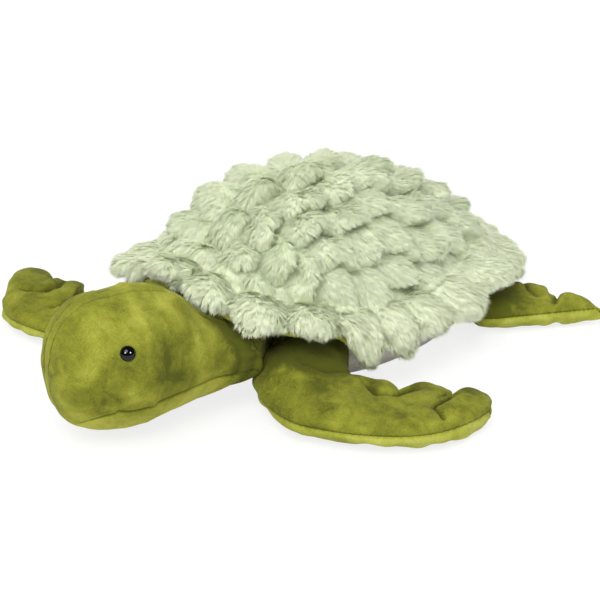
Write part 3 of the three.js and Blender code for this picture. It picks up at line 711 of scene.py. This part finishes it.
# Painted light: the lining is drawn in the lighter copy of the velour, though it lies in the brim's
# shade.
settle(rim_lining, pale_velour_painted_light, "velour", "body", "rim_lining", fill=0.4)

# %% [markdown]
# ## Body
# The body is a flat loaf: a belly panel that wraps up round its underside, and a band round its
# sides up into the shell. Both are drawn in along the seam where they meet, and both bed down round
# the roots of the limbs, as a stuffed body does under an arm.

# %% Roots of the limbs, and the body's surface
front_left_at, front_right_at = np.array([92, -104, 30]), np.array([-95, -119, 30])
rear_left_at, rear_right_at = np.array([84, 100, 19]), np.array([-84, 100, 19])
neck_root, head_joint = np.array([40, -138, 46.0]), np.array([65.09, -170.39, 46.0])
root_balls = [(front_left_at, 26.5), (front_right_at, 26.5), (rear_left_at, 17.2),
              (rear_right_at, 17.2), (neck_root, 23.4)]
body_width, body_length, body_top, belly_seam = 212, 276, 161, 26
body_rises = np.array([0, 9.1, 26, 52, 78, body_top])
body_shares = np.array([0.86, 0.95, 1, 1, 0.97, 0.93])


def body_surface(angle, height):
    """The loaf: the plan of 212 by 276 mm, drawn in by a share that goes with the height and is
    smoothed over 10 mm of it. Along the seam it is drawn in by another 1.6%."""
    fine = np.linspace(0, body_top, 400)
    curve = np.interp(fine, body_rises, body_shares)
    curve = np.convolve(np.pad(curve, 12, mode="edge"), np.ones(25) / 25, mode="valid")
    part = np.interp(height, fine, curve) * (1 - 1.6 * bump(height, belly_seam, 2.6) / 100)
    x, y = plan(angle, body_width * part, body_length * part)
    return np.stack([x, y, height + 0 * x], axis=-1)


def bed_down(points, middle):
    """Moves each point that lies in a root's ball towards the body's middle, up to the ball's far
    side: the larger root t of |point + t * way - centre| = radius."""
    points = points.copy()
    for centre, radius in root_balls:
        way = unit((middle - points) * np.array([1, 1, 0.2]))
        rest = points - centre
        b, c = (rest * way).sum(axis=-1), (rest ** 2).sum(axis=-1) - radius ** 2
        far = -b + np.sqrt(np.maximum(b ** 2 - c, 0))
        points = np.where((c < 0)[..., None], points + way * far[..., None], points)
    return points


# %% Belly panel
tucked_in = np.array([0.97, 0.97, 1])
body_angle = all_round(300)
floor_share = np.linspace(0, 1, 26)[:-1, None] ** 0.8 * 0.84
floor_x, floor_y = plan(body_angle, body_width * floor_share, body_length * floor_share)
flat = np.stack([floor_x, floor_y, 0 * floor_x], axis=-1)
turn_up = np.linspace(0, 1, 44)[:, None]
wall = body_surface(body_angle, belly_seam * turn_up ** 1.35 + 0 * body_angle)
swell = 0.9 * swells(wall, 34, 31) * turn_up
wall += outward(wall, around=True, inside=(0, 0, 30)) * swell[..., None]
belly = bed_down(np.concatenate([flat, wall]), np.array([0, 0, 45.0]))
belly = np.concatenate([belly, belly[-1:] * tucked_in - np.array([0, 0, 2.0])])
belly[..., 2] = np.maximum(belly[..., 2], 0)
belly_panel = sew("belly_plush_panel", belly, around=True, poles=(True, False), inside=(0, 0, 40))
settle(belly_panel, belly_plush, "belly_plush", "body", "belly_panel", "body_filling", fill=0.8)

# %% Side band
band_foot = belly_seam + 0.3
band_roof = inner_height(0.76, body_angle) + 1
band_height = band_foot + (band_roof - band_foot) * np.linspace(0, 1, 60)[:, None]
band = body_surface(body_angle, band_height)
band += outward(band, around=True, inside=(0, 0, 30)) * (1.2 * swells(band, 38, 33))[..., None]
band = bed_down(band, np.array([0, 0, 60.0]))
band = np.concatenate([band[:1] * tucked_in + np.array([0, 0, 2.0]), band])
side_band = sew("body_side_band_velour", band, around=True, inside=(0, 0, 60))
# Painted shade: the side band is drawn in the darker copy of the velour, for the shade under the
# shell.
settle(side_band, velour_painted_shade, "velour", "body", "body_side_band", fill=0.8)

# %% [markdown]
# ## Head
# The head is cut as two side panels and a strip, the gusset, sewn in between them. The strip is
# narrow over crown and nose, and widens to a broad panel under the chin. Its sections across are
# ellipses that swell from the nose and taper to the neck. A side panel starts at the point where
# the gusset's edge crosses the nose, and widens from there.

# %% The head's form
head_length, head_width, head_height = 165, 106, 113.5
head_way, head_across = np.array([0.2924, 0.9563, 0]), np.array([0.9563, -0.2924, 0])
upright = np.array([0, 0, 1.0])
nose = np.array([19.5, -319.5, 0])
neck_way = (head_joint - neck_root) / np.linalg.norm(head_joint - neck_root)
lip = head_joint + 9 * neck_way
crown_half, crest, neck_share = 6, 0.415, 0.38
heart_of_head = nose + 75 * head_way + np.array([0, 0, 57])
# Half of the gusset's width under the chin, by share of the head's length
chin_cut = smooth_rows([(0, 6), (0.035, 6.2), (0.06, 12), (0.09, 23), (0.12, 33), (0.17, 41),
                        (0.23, 45.7), (0.33, 48), (1.1, 50)], 300)


def head_swell(share):
    """How full the head is: (1 - back^2.7)^(1/2.7) up to its crest, and from there a taper to 38%
    at the neck, as (1 - on)^1.35."""
    rear = ((crest - share) / crest).clip(0, 1)
    on = ((share - crest) / (1 - crest)).clip(0, 1)
    blunt = (1 - rear ** 2.7) ** (1 / 2.7)
    return np.where(share < crest, blunt, neck_share + (1 - neck_share) * (1 - on) ** 1.35)


def head_rise(share, turned):
    """Height on the section at a share of the length and an angle from level. The middle sinks by
    12 mm towards the neck. The stuffing fills out the nape by 19 mm and the brow by 3.5 mm, and the
    underside lifts off the floor by 7 mm behind the chin."""
    middle = 56.6 - 12 * ((share - crest) / (1 - crest)).clip(0, 1)
    fuller = 19 * bump(share, 0.61, 0.147) + 3.5 * bump(share, 0.17, 0.12)
    hollow = 7 * bump(share, 0.35, 0.2)
    upward = np.sin(turned)
    section = upward * head_height / 2 + upward.clip(0, 1) * fuller + (-upward).clip(0, 1) * hollow
    return middle + section * head_swell(share)


def half_width(share):
    """Half of the head's width at a share of its length."""
    return head_swell(share) * head_width / 2


def head_point(share, turned, side=1):
    """A point of the head's surface. turned is the angle from level, up to the crown."""
    along = share * head_length
    across = side * np.cos(turned) * half_width(share)
    return (nose + along[..., None] * head_way + across[..., None] * head_across
            + head_rise(share, turned)[..., None] * upright)


def solve(function, low, high):
    """Where a function that falls from above 0 to below 0 crosses it, by halving 40 times."""
    low, high = np.array(low, dtype=float), np.array(high, dtype=float)
    for _ in range(40):
        middle = (low + high) / 2
        above = function(middle) > 0
        low, high = np.where(above, middle, low), np.where(above, high, middle)
    return (low + high) / 2


def nose_share(across):
    """The share of the length at which the head is so wide."""
    return solve(lambda share: across - half_width(share), 0 * across, 0 * across + crest)


def before_lip(points):
    """How far points lie ahead of the lip where the head ends on the neck."""
    return (points - lip) @ neck_way


def lip_share(function, like):
    """The share at which each column of a panel reaches the lip."""
    return solve(lambda share: before_lip(function(share)), 0.45 + 0 * like, 1.09 + 0 * like)


def seam_half(share, way):
    """Half of the gusset's width: 6 mm over the crown, where way is above 0, and under the chin as
    it is cut, but never beyond 94% of the head's width."""
    cut = np.minimum(np.interp(share, chin_cut[:, 0], chin_cut[:, 1]),
                     np.maximum(0.94 * half_width(share), crown_half))
    return np.where(way > 0, crown_half, cut)


def seam_angle(share, way):
    """The angle from level at which the gusset's edge lies: arccos(its half / the head's half)."""
    return np.arccos((seam_half(share, way) / np.maximum(half_width(share), 1e-6)).clip(0, 1))


start_of_sides = float(nose_share(np.array(float(crown_half))))
print("side panels start", round(start_of_sides * head_length, 1), "mm behind the nose")


# %% Cloth over the stuffed head
def gusset_line(side):
    """The seam of gusset and side panel, from the crown's end round the nose to the chin's."""
    way = np.linspace(1, -1, 300)
    share = start_of_sides + (1.0 - start_of_sides) * way ** 2
    return head_point(share, np.sign(way) * seam_angle(share, way), side)


seam_lines = [gusset_line(1), gusset_line(-1)]


def dress_head(points):
    """Puts the life of stuffed cloth on the head: seams drawn in by 1 mm, folds across it low at
    the neck, gathers along it, and slow swells of 1 mm. Round the nose, where the rows close up, it
    looks straight away from the heart of the head. It also says how much lighter or darker the pile
    looks there, with painted light and painted shade."""
    along = (points - nose) @ head_way
    at_nose = bump(along, 0, 1.5)[..., None]
    normal = outward(points, inside=heart_of_head)
    normal = unit(normal * (1 - at_nose) + unit(points - heart_of_head) * at_nose)
    near = np.minimum(*(seam_distance(points, line) for line in seam_lines))
    ahead_of_lip = before_lip(points)
    centred = points - nose - along[..., None] * head_way
    turn_round = np.arctan2(centred[..., 2] - 50, centred @ head_across)
    pleats = (np.cos(turn_round * 9 + 1.5 * np.sin(turn_round * 4))
              * (1 - ease(ahead_of_lip, 0, 24)) ** 2)
    # Low at the neck, folds are stacked up in arcs 10.5 mm apart
    low_side = ease(-turn_round, -0.9, -0.1) * (1 - ease(-turn_round, 1.3, 1.9))
    bow = ahead_of_lip + 9 * np.cos(turn_round - 0.4)
    stacked = np.abs(np.sin(np.pi * bow / 10.5)) ** 0.7 * low_side
    stacked = stacked * (1 - ease(ahead_of_lip, 14, 30))
    # The seams pull less over the crown than beside the mouth
    plain = 1 - 0.6 * ease(points[..., 2], 78, 98)
    move = -0.9 * plain * bump(near, 0, 1.0) + 0.3 * bump(near, 5, 3.5)
    move = move + 1.1 * pleats + 2.8 * stacked
    move = move + 0.9 * swells(points, 42, 41) + 0.3 * swells(points, 15, 42)
    moved = points + normal * move[..., None]
    moved[..., 2] = np.maximum(moved[..., 2], 0)
    # Painted light and shade in the pile: lighter on top and on the low part of the head, darker on
    # the cheek, and painted shade along the seams and in the folds by the neck
    level = (points[..., 2] - 20) / 80
    on_top = ease(points[..., 2], 78, 104) * ease(along, 40, 80)
    cheek = bump(along, 84, 30) * bump(level, 0.55, 0.28)
    pile = -0.22 + 0.35 * on_top + 0.6 * (1 - ease(level, -0.1, 0.35)) - 0.3 * cheek
    pile = pile - 1.1 * plain * bump(near, 0, 0.8) - 1.9 * (1 - ease(ahead_of_lip, 2, 26))
    return moved, pile


def close_on_neck(points, pile):
    """Adds rows that turn in over the neck's rounded end."""
    edge = points[-1]
    middle = lip - 4 * neck_way
    inner = np.stack([edge + (middle - edge) * part - neck_way * deep
                      for part, deep in ((0.06, -1.5), (0.16, -2.0), (0.35, -1.0))])
    return np.concatenate([points, inner]), np.concatenate([pile, pile[-1:] + np.zeros((3, 1))])


def head_piece(name, grid, pile, *nodes, **closed):
    """Sews a piece of the head, in olive velour, in place of its CAD nodes. Along both its long
    edges a seam allowance of 2.5 mm turns in, so that no gap opens between two panels."""
    turned_in = [edge + 2.5 * unit(heart_of_head - edge) for edge in (grid[:, :1], grid[:, -1:])]
    grid = np.concatenate([turned_in[0], grid, turned_in[1]], axis=1)
    pile = np.concatenate([pile[:, :1], pile, pile[:, -1:]], axis=1)
    piece = sew(name, grid, inside=heart_of_head, nap=pile, **closed)
    settle(piece, olive_velour, "velour", "head", *nodes, fill=0.9)


# %% Side panels
# Columns lie closer together along both seams, which draw the cloth in
fan = np.linspace(0, 1, 150)[None, :]
fan = 0.45 * (1 - np.cos(np.pi * fan)) / 2 + 0.55 * fan


def side_panel(side, share):
    """A side panel's points: round each section, from the chin's seam to the crown's."""
    low, high = seam_angle(share, -1), seam_angle(share, 1)
    return head_point(share + 0 * fan, -low + (low + high) * fan, side)


for name, side in (("left", 1), ("right", -1)):
    ends = lip_share(lambda share: side_panel(side, share), fan)
    way = np.linspace(0, 1, 150)[:, None]
    share = start_of_sides + (ends - start_of_sides) * (1 - np.cos(np.pi / 2 * way))
    grid, pile = close_on_neck(*dress_head(side_panel(side, share)))
    head_piece(f"head_side_panel_{name}", grid, pile, f"head_side_{name}", poles=(True, False))

# %% Gusset over crown, nose and chin
strip = np.linspace(-1, 1, 61)[None, :]


def gusset_points(way, start, end):
    """The gusset's points. way runs from 1 at the crown's end to 0 at the nose and -1 at the chin's
    end, and share = start + (end - start) * way^2. Across, a column keeps its share of the
    width."""
    share = start + (end - start) * way ** 2
    part = (strip * seam_half(share, way) / np.maximum(half_width(share), 1e-6)).clip(-1, 1)
    turned = np.where(way > 0, 1, -1) * np.arccos(np.abs(part))
    right, left = head_point(share, turned, -1), head_point(share, turned, 1)
    return np.where(strip[..., None] < 0, right, left)


gusset_start = nose_share(np.abs(strip) * crown_half)
way = np.linspace(1, -1, 320)[:, None]
ends = [lip_share(lambda share: gusset_points(sign + 0 * strip, gusset_start, share), strip)
        for sign in (1.0, -1.0)]
grid, pile = dress_head(gusset_points(way, gusset_start, np.where(way > 0, ends[0], ends[1])))
# Painted light: the gusset is lighter, a little over the crown and more under the chin, where it
# lies in shade.
pile = pile + np.where(way > 0, 0.1, 0.6)
head_piece("head_gusset_strip", grid, pile, "head_gusset", "head_filling")

# %% [markdown]
# ## Eyes
# A safety eye is a turned dome on a shank, pushed through the fabric and locked with a washer. The
# dome is an ellipse turned round its axis. It sits where its solid sits, and looks the same way.

# %% Eyes
# The axis is the main direction of the solid's corners that all of them lie closest to. The dome's
# middle lies 3.4 mm under the solid's top. It rises by 4.7 mm from there, and its back is flatter.
eye_radius, eye_rise, eye_back, eye_depth = 6, 4.7, 2.0, 3.4
eye_places = {}
for name in ("left", "right"):
    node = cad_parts[f"eye_{name}"]
    spots = np.array([node.matrix_world @ vertex.co for vertex in node.data.vertices]) / MM
    reach = spots - spots.mean(axis=0)
    main_ways = np.linalg.svd(reach, full_matrices=False)[2]
    axis = min(main_ways, key=lambda line: np.linalg.norm(
        reach - np.outer(reach @ line, line), axis=1).max())
    axis = axis * np.sign(axis @ (spots.mean(axis=0) - heart_of_head))
    centre = spots[np.argmax(spots @ axis)] - eye_depth * axis
    across = unit(np.cross(axis, upright))
    upwards = np.cross(across, axis)
    rise = np.linspace(np.pi / 2, -0.5, 22)[:, None, None]
    turn = all_round(48)[..., None]
    ring = eye_radius * np.cos(rise) * (across * np.cos(turn) + upwards * np.sin(turn))
    dome_points = centre + ring + np.where(rise > 0, eye_rise, eye_back) * np.sin(rise) * axis
    eye = sew(f"eye_dome_{name}", dome_points, around=True, poles=(True, True))
    settle(eye, eye_acrylic, "eye", "head", f"eye_{name}")
    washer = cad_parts[f"eye_washer_{name}"].data.materials
    washer.clear()
    washer.append(washer_nylon)
    eye_places[name] = centre, axis
    print("eye", name, "at", centre.round(1), "looks along", axis.round(2))

# %% [markdown]
# ## Neck
# The neck is a short tube of velour, gathered where it meets the head, so it has deep folds along
# it. Both its ends are rounded and turn inside the body and the head.

# %% Neck
neck_thick, round_end = 21.8, 21.7
neck_turn = all_round(160)
neck_span = np.linalg.norm(head_joint - neck_root)
distance = -round_end + (neck_span + 2 * round_end) * (
    1 - np.cos(np.pi * np.linspace(0, 1, 90)[:, None])) / 2
past_end = distance - distance.clip(0, neck_span)
neck_radius = np.sqrt(np.maximum(neck_thick ** 2 - past_end ** 2, 0))
folds = np.cos(neck_turn * 13 + 2 * np.sin(neck_turn * 3)) * bump(distance, 24, 16)
neck_radius = neck_radius * (1 + 0.055 * folds)
neck = (neck_root + distance[..., None] * neck_way
        + (neck_radius * np.cos(neck_turn))[..., None] * np.cross(neck_way, upright)
        + (neck_radius * np.sin(neck_turn))[..., None] * upright)
neck_tube = sew("neck_gathered_tube", neck, around=True, poles=(True, True))
# Painted shade: the neck is drawn in the darker copy of the velour, for the shade under the shell
# and the head.
settle(neck_tube, velour_painted_shade, "velour", "neck", "neck_skin", "neck_filling", fill=0.8)

# %% [markdown]
# ## Flippers
# A flipper is two matching panels sewn edge to edge, an upper and a lower one, turned and stuffed.
# Its rear edge has three rounded fingers, and from each notch a line of stitches runs in through
# both panels and holds them together, so the pad is pinched there and puffs up on both sides. The
# outline is a table of stations from the shoulder to the tip: a point on the leading edge, one on
# the trailing edge, then how high the middle lies and how thick the pad is.

# %% Outlines of the flippers
front_table = [
    (-.11, -.13, .11, .11, .97, 1.22), (-.13, -.26, .19, .02, .91, 1.26),
    (-.09, -.38, .23, .00, .8, 1.2), (.06, -.47, .28, -.04, .70, 1.1),
    (.22, -.51, .34, .02, .60, 1.0), (.38, -.51, .43, .10, .54, .92),
    (.52, -.45, .55, .07, .52, .88), (.64, -.38, .53, .26, .50, .84),
    (.76, -.28, .68, .28, .50, .82), (.85, -.18, .71, .22, .49, .80),
    (.91, -.07, .73, .37, .49, .79), (.94, .06, .82, .39, .49, .76),
    (.945, .19, .89, .36, .5, .65), (.93, .29, .905, .33, .48, .4),
]
far_table = front_table[:8] + [
    (.77, -.29, .66, .31, .54, .92), (.87, -.20, .71, .28, .52, .9),
    (.94, -.08, .77, .42, .52, .9), (.965, .05, .86, .46, .52, .86), (.97, .2, .93, .42, .5, .7),
    (.955, .32, .94, .38, .48, .4),
]
rear_table = [
    (.02, -.15, -.04, .17, 1, 1.05), (.1, -.28, .0, .33, .92, 1.12),
    (.28, -.33, .06, .52, .86, 1.12), (.42, -.2, .12, .68, .8, 1.08),
    (.53, 0, .26, .73, .74, 1.02), (.64, .2, .44, .66, .7, .95), (.75, .4, .54, .78, .66, .9),
    (.84, .56, .70, .85, .62, .76), (.93, .7, .86, .85, .57, .5), (.98, .8, .95, .84, .52, .3),
]
# reach, rise and depth are the mm that 1 stands for in the table. ball is the radius of the rounded
# root, and root the way out from it in degrees. Between two notches, given as stations, the edge of
# a finger stands out by the bulge. dark, deeper and light say how the pile looks on the two panels:
# the upper one darker all over by deeper, and more so towards the root up to the share dark of its
# reach, as painted shade under the shell, and the lower one lighter by light, as painted light; on
# both the pile also lies the darker or the lighter way.
front_make = {
    "table": front_table, "rows": 230, "reach": 154, "rise": 30, "depth": 18, "ball": 25,
    "root": -42, "notches": [2, 6, 9, 12.9], "bulge": 3.0,
    "dark": 0.5, "deeper": 0.35, "light": 0.3,
    "stitches": [[(.58, .13), (.57, .0), (.51, -.07), (.42, -.05)],
                 [(.75, .24), (.78, .05), (.88, .02)],
                 [(.23, .02), (.26, -.04), (.23, -.14), (.19, -.18), (.12, -.22)]],
}
far_make = dict(front_make, table=far_table, stitches=[
    [(.64, .28), (.66, .11), (.71, .03), (.80, .03), (.85, .06)],
    [(.48, .14), (.53, .02), (.55, -.05), (.60, -.13), (.64, -.16)],
    [(.23, .02), (.26, -.04), (.23, -.14), (.19, -.18)]])
rear_make = {
    "table": rear_table, "rows": 130, "reach": 85, "rise": 19, "depth": 14, "ball": 16,
    "root": 40, "notches": [1, 5, 9], "bulge": 2.0,
    "dark": 0.9, "deeper": 0.0, "light": 0.45,
    "stitches": [[(.48, .70), (.56, .56), (.63, .46)], [(.14, .55), (.30, .44), (.44, .39)]],
}
seam_height, panel_columns = 16, 104


def superellipse(turn):
    """(out, up) at an angle: cos and sin to the power of 2 / 2.4, with their signs kept."""
    return (np.sign(wave) * np.abs(wave) ** (2 / 2.4) for wave in (np.cos(turn), np.sin(turn)))


def pad(make, side):
    """One panel of a flipper, rows from shoulder to tip and columns across. Its section is a
    superellipse. side is 1 for the upper panel, -1 for the lower. The panels meet 16 mm above the
    floor."""
    rows = smooth_rows(make["table"], make["rows"])
    lead, trail = rows[:, :2] * make["reach"], rows[:, 2:4] * make["reach"]
    height, thick = rows[:, 4] * make["rise"], rows[:, 5] * make["depth"]
    station = np.linspace(0, len(make["table"]) - 1, make["rows"])
    place = np.interp(station, make["notches"], np.arange(len(make["notches"])), left=0, right=0)
    finger = np.abs(np.sin(np.pi * place)) ** 0.6 * make["bulge"]
    trail = trail + unit(trail - lead) * finger[:, None]
    middle, half = (lead + trail) / 2, (trail - lead) / 2
    slope = ((height - seam_height) / thick).clip(-0.9, 0.9)
    edge = np.sign(slope) * np.arcsin(np.abs(slope) ** 1.2)
    low, high = (-edge, np.pi + edge) if side > 0 else (-edge, edge - np.pi)
    out, up = superellipse(low[:, None] + (high - low)[:, None] * np.linspace(0, 1, panel_columns))
    flat = middle[:, None] + half[:, None] * out[..., None]
    near = np.minimum.reduce([seam_distance(flat, np.array(line) * make["reach"])
                              for line in make["stitches"]])
    pinch = 1 - 0.30 * bump(near, 0, 6.0) - 0.34 * bump(near, 0, 1.7)
    z = height[:, None] + up * thick[:, None] * np.where(up * side > 0, pinch, 1)
    # Painted shade: darker along the lines of stitches, where they pinch the pad into creases.
    pile = -1.0 * bump(near, 0, 1.8) - 0.3 * bump(near, 0, 6)
    # Painted shade on the upper panel, darkest at the root under the shell, and painted light on
    # the lower panel, as from the floor; the pile also lies the darker or the lighter way.
    if side > 0:
        away = np.linalg.norm(flat, axis=-1) / make["reach"]
        pile = pile - make["deeper"] - 1.7 * (1 - ease(away, 0.15, make["dark"]))
    else:
        pile = pile + make["light"]
    return np.concatenate([flat, z[..., None]], axis=-1), pile


# %% Round root, tip, seam and place
flat_only = np.array([1, 1, 0])


def flipper_panel(make, side):
    """The panel with a rounded root behind it, a closed tip, cloth drawn in along the edge seam,
    small puckers at each stitch of 4.2 mm, slow swells, and a seam allowance of 3 mm turned in."""
    points, pile = pad(make, side)
    root_way = np.array([np.cos(np.radians(make["root"])), np.sin(np.radians(make["root"])), 0])
    centre = np.array([0, 0, make["rise"]])
    ball = [centre + (points[:1] - centre) * np.cos(a) - root_way * make["ball"] * 0.92 * np.sin(a)
            for a in np.radians([88, 70, 50, 32, 16])]
    last = points[-1:]
    tip_middle = last.mean(axis=1, keepdims=True)
    tip_way = unit((points[-1] - points[-4]).mean(axis=0))
    tips = [tip_middle + (last - tip_middle) * np.cos(a) + tip_way * 3.5 * np.sin(a)
            for a in np.radians([30, 55, 75, 90])]
    grid = np.concatenate(ball + [points] + tips)
    pile = np.concatenate([pile[:1]] * len(ball) + [pile] + [pile[-1:]] * len(tips))
    normal = outward(grid)
    middle_line = grid.mean(axis=1, keepdims=True)
    facing = (normal * (grid - middle_line)).sum(axis=-1, keepdims=True)
    normal = normal * np.where(facing.mean() < 0, -1, 1)
    edge_steps = np.linalg.norm(np.diff(grid[:, :1], axis=0, prepend=grid[:1, :1]), axis=-1)
    stitch = np.sin(np.cumsum(edge_steps, axis=0) * 2 * np.pi / 4.2)
    steps = np.linalg.norm(np.diff(grid, axis=1), axis=-1)
    from_first = np.concatenate([np.zeros((len(grid), 1)), np.cumsum(steps, axis=1)], axis=1)
    near = np.minimum(from_first, from_first[:, -1:] - from_first)
    pull = (1.2 + 0.15 * stitch) * bump(near, 0, 1.6)
    move = 0.7 * bump(near, 5, 3) + 0.9 * swells(grid, 30, 51 + side)
    move = (move + 0.4 * swells(grid, 12, 57 + side)) * ease(near, 0, 6)
    inward = unit((middle_line - grid) * flat_only)
    grid = grid + normal * move[..., None] + inward * pull[..., None]
    pile = pile - (0.8 + 0.4 * stitch) * bump(near, 0, 1.2)
    turned_in = [edge + unit((middle_line - edge) * flat_only) * 3.0 - np.array([0, 0, 0.6 * side])
                 for edge in (grid[:, :1], grid[:, -1:])]
    grid = np.concatenate([turned_in[0], grid, turned_in[1]], axis=1)
    grid[..., 2] = np.maximum(grid[..., 2], 0)
    return grid, np.concatenate([pile[:, :1], pile, pile[:, -1:]], axis=1)


def set_place(points, at, mirrored, sweep):
    """Mirrors a flipper for the right side, turns it about the shoulder and moves it there."""
    points = points * np.array([-1 if mirrored else 1, 1, 1])
    c, s = np.cos(np.radians(sweep)), np.sin(np.radians(sweep))
    turned = np.stack([points[..., 0] * c - points[..., 1] * s,
                       points[..., 0] * s + points[..., 1] * c, points[..., 2]], axis=-1)
    return turned + at * flat_only


flippers = [
    ("flipper_front_left", front_make, front_left_at, False, 0),
    ("flipper_front_right", far_make, front_right_at, True, 46),
    ("flipper_rear_left", rear_make, rear_left_at, False, 0),
    ("flipper_rear_right", rear_make, rear_right_at, True, 0),
]
for body, make, at, mirrored, sweep in flippers:
    for word, side, finish in (("upper", 1, olive_velour), ("lower", -1, pale_velour_painted_light)):
        panel, pile = flipper_panel(make, side)
        grid = set_place(panel, at, mirrored, sweep)
        below = grid.mean(axis=(0, 1)) - np.array([0, 0, 60 * side])
        piece = sew(f"{body}_{word}_panel", grid, poles=(True, True), inside=below, nap=pile)
        gone = [f"{body}_{word}"] + ([f"{body}_filling"] if side > 0 else [])
        settle(piece, finish, "velour", body, *gone, fill=0.8)

# %% [markdown]
# ## Tail
# A small padded point, sewn into the seam at the body's rear. It lies flat on the floor.

# %% Tail
# Stations from root to tip: the way along, half the width and the thickness, as parts of its size
tail_at, tail_size, tail_height = 136, 46, 10
tail_table = [(-.1, .37, 1), (.3, .34, .94), (.6, .24, .84), (.88, .1, .6), (.99, .03, .3)]
along, half, thick = smooth_rows(tail_table, 60).T[..., None]
tail_turn = all_round(72)
out, up = superellipse(tail_turn)
tail = np.stack([
    tail_size * half * out,
    tail_at + tail_size * along + 0 * out,
    tail_height * (1 - 0.2 * along) + tail_height * thick * up,
], axis=-1)
tail_edge = np.abs(np.sin(tail_turn)) * 20
tail_move = -1.2 * bump(tail_edge, 0, 2.2) + 0.6 * swells(tail, 18, 71)
tail = tail + outward(tail, around=True) * tail_move[..., None]
tail[..., 2] = np.maximum(tail[..., 2], 0)
tail_pad = sew("tail_pad", tail, around=True, poles=(True, True))
settle(tail_pad, olive_velour, "velour", "body", "tail_skin", "tail_filling", fill=0.8)

# %% [markdown]
# ## Floor and light
# A white studio floor under soft light: an even white room, and one broad lamp from the upper left
# at the front. The floor is white to the camera, and still carries the toy's shadow.

# %% Floor
def by_ray(tree, ray, others, these):
    """A mix of two shaders: the second for one kind of ray, the first for all others."""
    path = add(tree, "LightPath", {})
    return add(tree, "MixShader", {}, {
        0: path.outputs[ray], 1: others, 2: these})


floor_white, tree = new_finish("white studio floor")
paper = add(tree, "BsdfDiffuse", {"Color": (0.86, 0.86, 0.86, 1)})
faint = add(tree, "BsdfDiffuse", {"Color": (0.22, 0.22, 0.22, 1)})
glow = add(tree, "Emission", {"Color": (1, 1, 1, 1), "Strength": 0.80})
lifted = add(tree, "AddShader", {}, {0: faint, 1: glow})
either = by_ray(tree, "Is Camera Ray", paper, lifted)
add(tree, "OutputMaterial", {}, {"Surface": either})
floor_mesh = bpy.data.meshes.new("floor")
wide = 6
floor_mesh.from_pydata(
    [(-wide, -wide, 0), (wide, -wide, 0), (wide, wide, 0), (-wide, wide, 0)], [], [(0, 1, 2, 3)])
floor_mesh.materials.append(floor_white)
floor = put("floor", floor_mesh)
floor.location.z = -0.0004

# %% Room light and lamp
room = bpy.data.worlds.new("white room")
bpy.context.scene.world = room
room.use_nodes = True
room_tree = room.node_tree
room_tree.nodes.clear()
sky, dim_sky, seen_sky = (
    add(room_tree, "Background", {"Color": (1, 1, 1, 1), "Strength": strength})
    for strength in (0.68, 0.08, 1.0))
mirrored_sky = by_ray(room_tree, "Is Glossy Ray", sky, dim_sky)
either = by_ray(room_tree, "Is Camera Ray", mirrored_sky, seen_sky)
add(room_tree, "OutputWorld", {}, {"Surface": either})
lamp = bpy.data.lights.new("broad soft lamp", "SUN")
lamp.energy, lamp.angle = 1.78, np.radians(38)
lamp_object = put("broad soft lamp", lamp)
lamp_object.rotation_euler = Vector((0.35, -0.55, 0.92)).to_track_quat("Z", "Y").to_euler()
bpy.context.scene.view_settings.view_transform = "Standard"

# %% [markdown]
# The near eye shows two small bright lamps side by side. A lamp is seen in a mirror where the ray
# from the camera, turned back about the surface's normal, meets it. So each lamp stands 1.2 m out
# along that ray, for a spot 2 mm beside the middle of the dome, an ellipsoid |squash . spot| = 1.

# %% Two small lamps that the near eye mirrors
eye_centre, eye_axis = eye_places["left"]
to_camera = unit(np.array(camera.location) / MM - eye_centre)
rightwards = unit(np.cross(upright, to_camera))
image_up = np.cross(to_camera, rightwards)
squash = np.eye(3) / eye_radius + np.outer(eye_axis, eye_axis) * (1 / eye_rise - 1 / eye_radius)
for number, (over, up) in enumerate([(-1.9, 0.6), (2.1, 0.6)], start=1):
    aside = over * rightwards + up * image_up
    start, way = squash @ aside, squash @ to_camera
    b, c = start @ way / (way @ way), (start @ start - 1) / (way @ way)
    spot = aside + (-b + np.sqrt(b ** 2 - c)) * to_camera
    normal = unit(squash @ squash @ spot)
    mirrored = 2 * (normal @ to_camera) * normal - to_camera
    spark = bpy.data.lights.new(f"eye light {number}", "AREA")
    spark.shape, spark.size, spark.energy = "DISK", 0.34, 8.0
    spark_object = put(f"eye light {number}", spark)
    spark_object.location = ((eye_centre + spot) * MM + 1.2 * mirrored).tolist()
    spark_object.rotation_euler = Vector(mirrored.tolist()).to_track_quat("Z", "Y").to_euler()
    spark_object.visible_diffuse = spark_object.visible_camera = False
